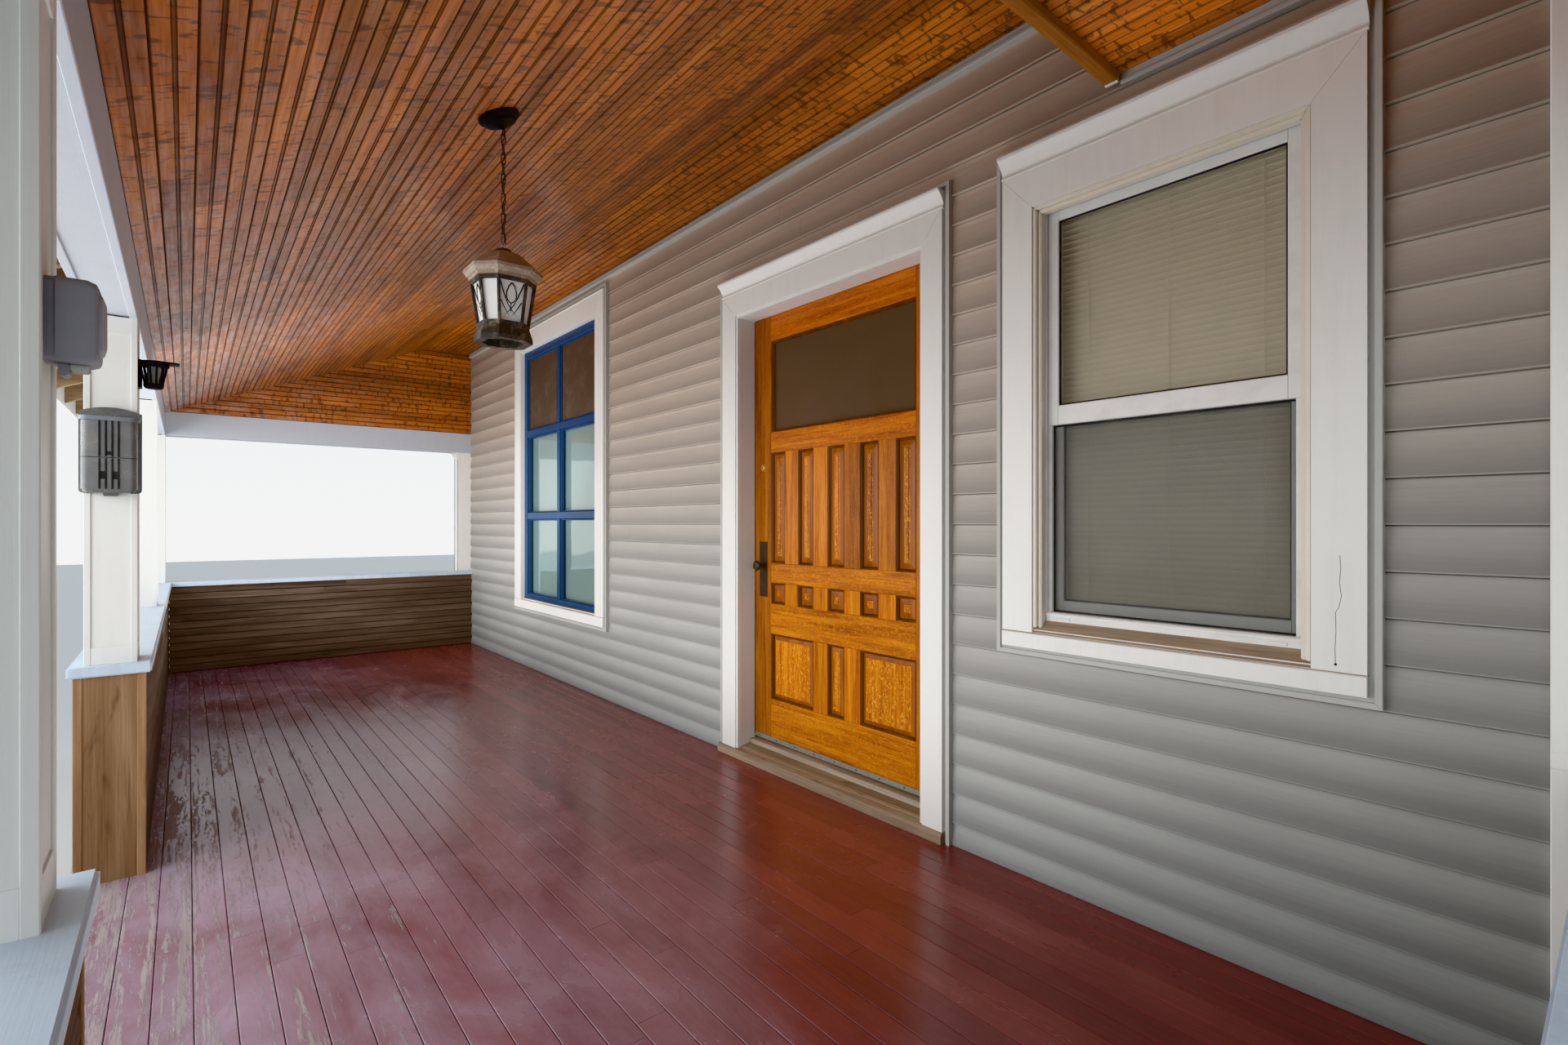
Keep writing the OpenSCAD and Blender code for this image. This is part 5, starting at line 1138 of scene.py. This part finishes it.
def sensor():
    """Dark box with rounded corners, a paler curved lens panel and a bright tab below."""
    m = Maker("sensor_shell", "gray_plastic", "lens_plastic", "strip_metal", slot="gray_plastic")
    u, v, base = POSTS[1] + POST_W / 2, BEAM_IN - 3, 1435

    def layer(finish, *rings):
        """Rounded outlines: (distance outwards, half width, foot, head, corner)."""
        outlines = []
        for out, half, low, high, r in rings:
            spots = []
            for x, y, start in ((half - r, high - r, 0), (r - half, high - r, 90), (r - half, low + r, 180),
                                (half - r, low + r, 270)):
                spots += arc(u + x, base + y, r, start, 6)
            outlines.append([(x, v + out, h) for x, h in spots])
        m.loft(outlines, finish, 0.5)

    layer(0, (0, 36, 2, 103, 9), (10, 37, 1, 104, 10), (12, 39, 0, 105, 12), (40, 39, 0, 105, 14),
          (48, 36, 3, 102, 14), (50, 32, 7, 98, 12))
    layer(1, (49, 24, 14, 92, 12), (53, 22, 16, 90, 12), (55.5, 16, 24, 82, 10))
    m.board(about(u, 9), (v + 22, v + 40), (base - 9, base + 1), finish=2)
    m.board(about(u, 15), (v + 12, v + 22), (base - 16, base + 1), 3)
    m.make("sensor_box", smooth=35)


def cage_lamp():
    """Slotted cup under a lid with a visor, on a wall plate."""
    m = Maker("cup_lamp_shell", "black_metal", "pale_lens", slot="gray_plastic")
    u, back, base = POSTS[2] + POST_W / 2, BEAM_IN - 3, BEAM_H - 233
    v = back + 44
    m.board(about(u, 28), (back, back + 12), (base, base + 100), 4)
    m.lathe((u, v, base), "h", [(0, 10), (0.6, 20), (3, 25), (8, 28), (17, 29.5), (18, 28)], 36)
    m.lathe((u, v, base), "h", [(15, 8), (16, 19), (84, 19), (85, 8)], finish=1)
    foot_r = 28.0
    for k in range(12):
        rings = []
        for r, h in ((foot_r, 17), (40.5, 83)):
            middle, half = math.radians(30 * k + 15), math.radians(5.6) * foot_r / r * 1.15
            rings.append([(*turned(u, v, middle + side * half, out), base + h)
                          for out, side in ((r - 5, -1), (r - 5, 1), (r, 1), (r, -1))])
        m.loft(rings, tone=0.5)
    m.lathe((u, v, base), "h", [(80, 20), (80, 40), (82, 44), (94, 44), (97.5, 42), (99.5, 36), (100, 10)],
            36)
    m.prism("h", shifted(u, v, (-41, 0), (41, 0), (30, 62), (20, 72), (-20, 72), (-30, 62)),
            (base + 94.2, base + 99.6))
    m.make("cage_lamp", smooth=35)


def lantern():
    """Leading on the glass, ball and wire: the body itself is the frame's own."""
    u, v, base = 2443, 1063, 1845
    low_half, high_half = (width / 2 / math.hypot(1, 0.5) for width in (156, 200))

    def spot(turn, x, y):
        """Point on a broad side: x across from -1 to 1, y up from 0 to 1."""
        half = at((low_half, high_half), y)
        return (*turned(u, v, math.radians(turn), half - 9.2, x * (half * 0.5 - 7)), base + 13 + 119 * y)

    m = Maker("lantern_leading", "lead_came", slot="bronze")
    drop = ((0.0, 0.96), (0.25, 0.86), (0.42, 0.72), (0.44, 0.6), (0.30, 0.5), (0.0, 0.44))
    arch = ((0.97, 0.98), (0.80, 0.80), (0.55, 0.58), (0.30, 0.42), (0.0, 0.30))
    foot = ((0.97, 0.02), (0.62, 0.12), (0.32, 0.22), (0.0, 0.30))
    low_arch = ((0.97, 0.50), (0.70, 0.36), (0.34, 0.20), (0.0, 0.10))
    for turn in (0, 90, 180, 270):
        for side in (-1, 1):
            for line in (drop, arch, foot, low_arch):
                m.tube([spot(turn, side * x, y) for x, y in line], 1.7)
        m.tube([spot(turn, 0, 0.0), spot(turn, 0, 0.44)], 1.5)
    m.make()

    # Ball under the ring
    m = Maker("lantern_seams", "dusty_bronze", slot="bronze")
    m.lathe((u, v, base + 145), "h", [(96, 22), (99, 26), (104, 24), (107, 14)], 20)
    m.make(smooth=40)

    # Lamp wire threaded through the chain
    m = Maker("lantern_chain_wire", "dark_gasket", slot="bronze")
    hung, count = (2112, ceiling_h(v) - 44), 59
    m.tube([(*turned(u, v, 11 * math.pi * k / count, 4.2), at(hung, k / count)) for k in range(count + 1)],
           1.6)
    m.make()


def foundations():
    """Courses of blocks with struck joints; the piers are the same."""
    m = Maker("foundation_blocks", "masonry", "mortar", slot="masonry")
    course, long, joint, wall = 190, 390, 9, (V_SHEATH, V_BACK)
    m.board(inset((0, LENGTH), 2), inset(wall, 4), (-DECK, -1), 0.5, 1)
    for row in range(3):
        low, spot = -DECK + row * course, -long / 2 if row % 2 else 0
        h = (low + (joint / 2 if row else 0), min(low + course - joint / 2, 0))
        while spot < LENGTH:
            a, b = max(spot, 0), min(spot + long - joint, LENGTH)
            if b - a > 25:
                m.board((a, b), wall, h, 4)
            spot += long
    m.make("foundation")

    m = Maker("pier_blocks", "masonry", "mortar", slot="masonry")
    size, edge, joint = 290, 29, 8
    v = (edge, edge + size)
    for u in [edge, LENGTH - edge - size] + [post + (POST_W - size) / 2 for post in POSTS[1:4]]:
        m.board((u + 5, u + size - 5), inset(v, 5), (-DECK, SKIRT_TOP), 0.5, 1)
        for h, cut in (((-DECK, -DECK + 174), 115), ((-DECK + 184, SKIRT_TOP), 165)):
            for x in ((u, u + cut), (u + cut + joint, u + size)):
                m.board(x, v, h, 5)
    m.make("piers")


def skirts_and_stair():
    m = Maker("skirt_boards", "brown_boards_up", "brown_boards", "brown_boards_end", slot="stained_boards")
    outer, inner, batten = 9, 20, 9
    low, high = -DECK + 15, SKIRT_TOP

    def boards(span, plane, back, along_wall):
        """Upright boards in a plane, with two battens behind them."""
        for run in strips(span, 118, 3):
            m.board(*((run, plane)[::1 if along_wall else -1]), (low, high - 0.5))
        for h in ends(inset((low, high), 20), 45):
            m.board(*((span, back)[::1 if along_wall else -1]), h, 1.5, 1 if along_wall else 2)

    for u in ((outer, STAIR[0]), (STAIR[1], LENGTH - outer)):
        boards(u, (outer, inner), (inner - batten, inner), True)
    for plane, back in zip(both((outer, inner)), both((inner - batten, inner))):
        boards((inner + 9, V_SHEATH), plane, back, False)
    m.make("skirt")

    going, riser, riser_t, tread_t, over = 280, DECK / 3, 20, 32, 25
    m = Maker("tread_boards", "deck_paint", slot="deck_paint")
    for i in range(2):
        front, top = (i - 2) * going - riser_t - over, -DECK + riser * (i + 1)
        wide = (going + over - 5) / 2
        for a, nose in ((front, 8), (front + wide + 5, 2)):
            m.prism("u", shifted(a, top, (0, -tread_t), (wide, -tread_t), (wide, -2), (wide - 2, 0),
                                 (nose, 0), (nose * 0.3, -nose * 0.35), (0, -nose)), STAIR)
    m.make("stair_treads")
    m = Maker("riser_boards", "white_trim", slot="white_trim")
    tops = [-DECK + riser - tread_t, -DECK + riser * 2 - tread_t, -DECK_T]
    for i, (low, high) in enumerate(zip([-DECK, *tops], tops)):
        m.board(STAIR, ((i - 2) * going - riser_t, (i - 2) * going), (low, high), 1.5)
    m.make("risers")


def corner_board():
    m = Maker("corner_board_trim", "bright_trim", slot="white_trim")
    v = (V_SHEATH - 35, V_SHEATH)
    for start, h in ((RAIL_T + 0.2, (0, RAIL_TOP - 0.2)),
                     (RAIL_T + CAP_OVER + 0.2, (RAIL_TOP - 1, RAIL_H + 1)),
                     (CORNER[0], (RAIL_H, DROP_H - 0.3))):
        m.board((start, CORNER[1]), v, h, 2.5)
    m.make("corner_board")


def inner_wall():
    """Plain skirting board on the plaster of the house side."""
    m = Maker("skirting_board", "white_trim", slot="plaster")
    for u in ((0, DOOR[0] - 32), (DOOR[1] + 32, LENGTH)):
        m.board(u, (V_BACK, V_BACK + 14), (2, 120), 4)
    m.make()


for build in (deck, siding, ceilings, gables, half_walls, posts, beams, roof, door_surround, door_sill,
              door, white_window, blue_window, letter_box, sensor, cage_lamp, lantern, foundations,
              skirts_and_stair, corner_board, inner_wall):
    build()

# Finishes of the frame's own solids
for finish, nodes in {
        "rough_timber": "rim_beam", "rough_timber_deep": "floor_joists rafters stringers",
        "plaster": "wall_near wall_far wall_over_door", "white_upright": "door_frame",
        "aged_metal": "jamb_hinges door_hinges door_lock", "door_glass": "door_glass",
        "window_glass": "window_glass", "dark_glass": "blue_window_glass", "black_metal": "lantern_canopy",
        "dusty_bronze": "lantern_chain lantern_cage", "dusty_roof": "lantern_roof",
        "lantern_glass": "lantern_glass"}.items():
    for node in nodes.split():
        slots = frame["nodes"][node].data.materials
        slots.clear()
        slots.append(M[finish])


def placed(name, data, place):
    item = bpy.data.objects.new(name, data)
    bpy.context.scene.collection.objects.link(item)
    item.location = place
    return item


def make_camera():
    cam = bpy.data.cameras.new("camera")
    cam.sensor_fit, cam.sensor_width, cam.lens, cam.shift_y = "HORIZONTAL", 36.0, 16.4625, 0.0005
    cam.clip_start, cam.clip_end = 0.05, 200
    eye = placed("camera", cam, world(138, 295, 1233))
    eye.rotation_euler = (math.radians(90), 0, math.radians(50.2))
    bpy.context.scene.camera = eye


def area_light(name, place, aim, size, power, colour, in_gloss=False):
    light = bpy.data.lights.new(name, "AREA")
    light.shape, light.energy, light.color = "RECTANGLE", power, colour
    light.size, light.size_y = size
    lamp = placed(name, light, place)
    lamp.rotation_euler = (Vector(aim) - Vector(place)).to_track_quat("-Z", "Y").to_euler()
    lamp.visible_camera, lamp.visible_glossy = False, in_gloss


make_camera()
bpy.context.scene.view_settings.view_transform = "Khronos PBR Neutral"
# The world is bright at the horizon and softer overhead, the same all round
studio = Shade("studio", "Background", bpy.data.worlds, Strength=1.15)
studio.put(studio.inputs["Color"], studio.ramp(studio.place(2, "Generated"), 0.0, 1.0, 0.3, (0.92, 0.97, 1.0),
                                               1.0, (0.42, 0.50, 0.60)))
bpy.context.scene.world = studio.data
area_light("front_light", (0.5, -6.5, 3.6), (0.5, 0.8, 1.6), (9, 4), 200, (0.95, 0.98, 1.0), in_gloss=True)
area_light("opening_light", (-0.6, -2.1, 1.95), (-0.6, 1.5, 2.2), (6.8, 1.0), 92, (0.96, 0.98, 1.0))
area_light("bounce_light", (-0.3, 0.1, 0.66), (-0.3, 0.3, 3.0), (6.2, 1.5), 54, (0.98, 0.98, 1.0))
area_light("far_fill", (-1.4, 0.15, 1.75), (-3.4, 0.2, 3.2), (2.0, 1.5), 24, (0.98, 0.98, 1.0))

ground = bpy.data.meshes.new("floor")
ground.from_pydata([(-40, -40, 0), (40, -40, 0), (40, 40, 0), (-40, 40, 0)], [], [(0, 1, 2, 3)])
Shade("pale_floor").finish((0.62, 0.62, 0.60), 0.7)
ground.materials.append(M["pale_floor"])
placed("floor", ground, (0, 0, 0))
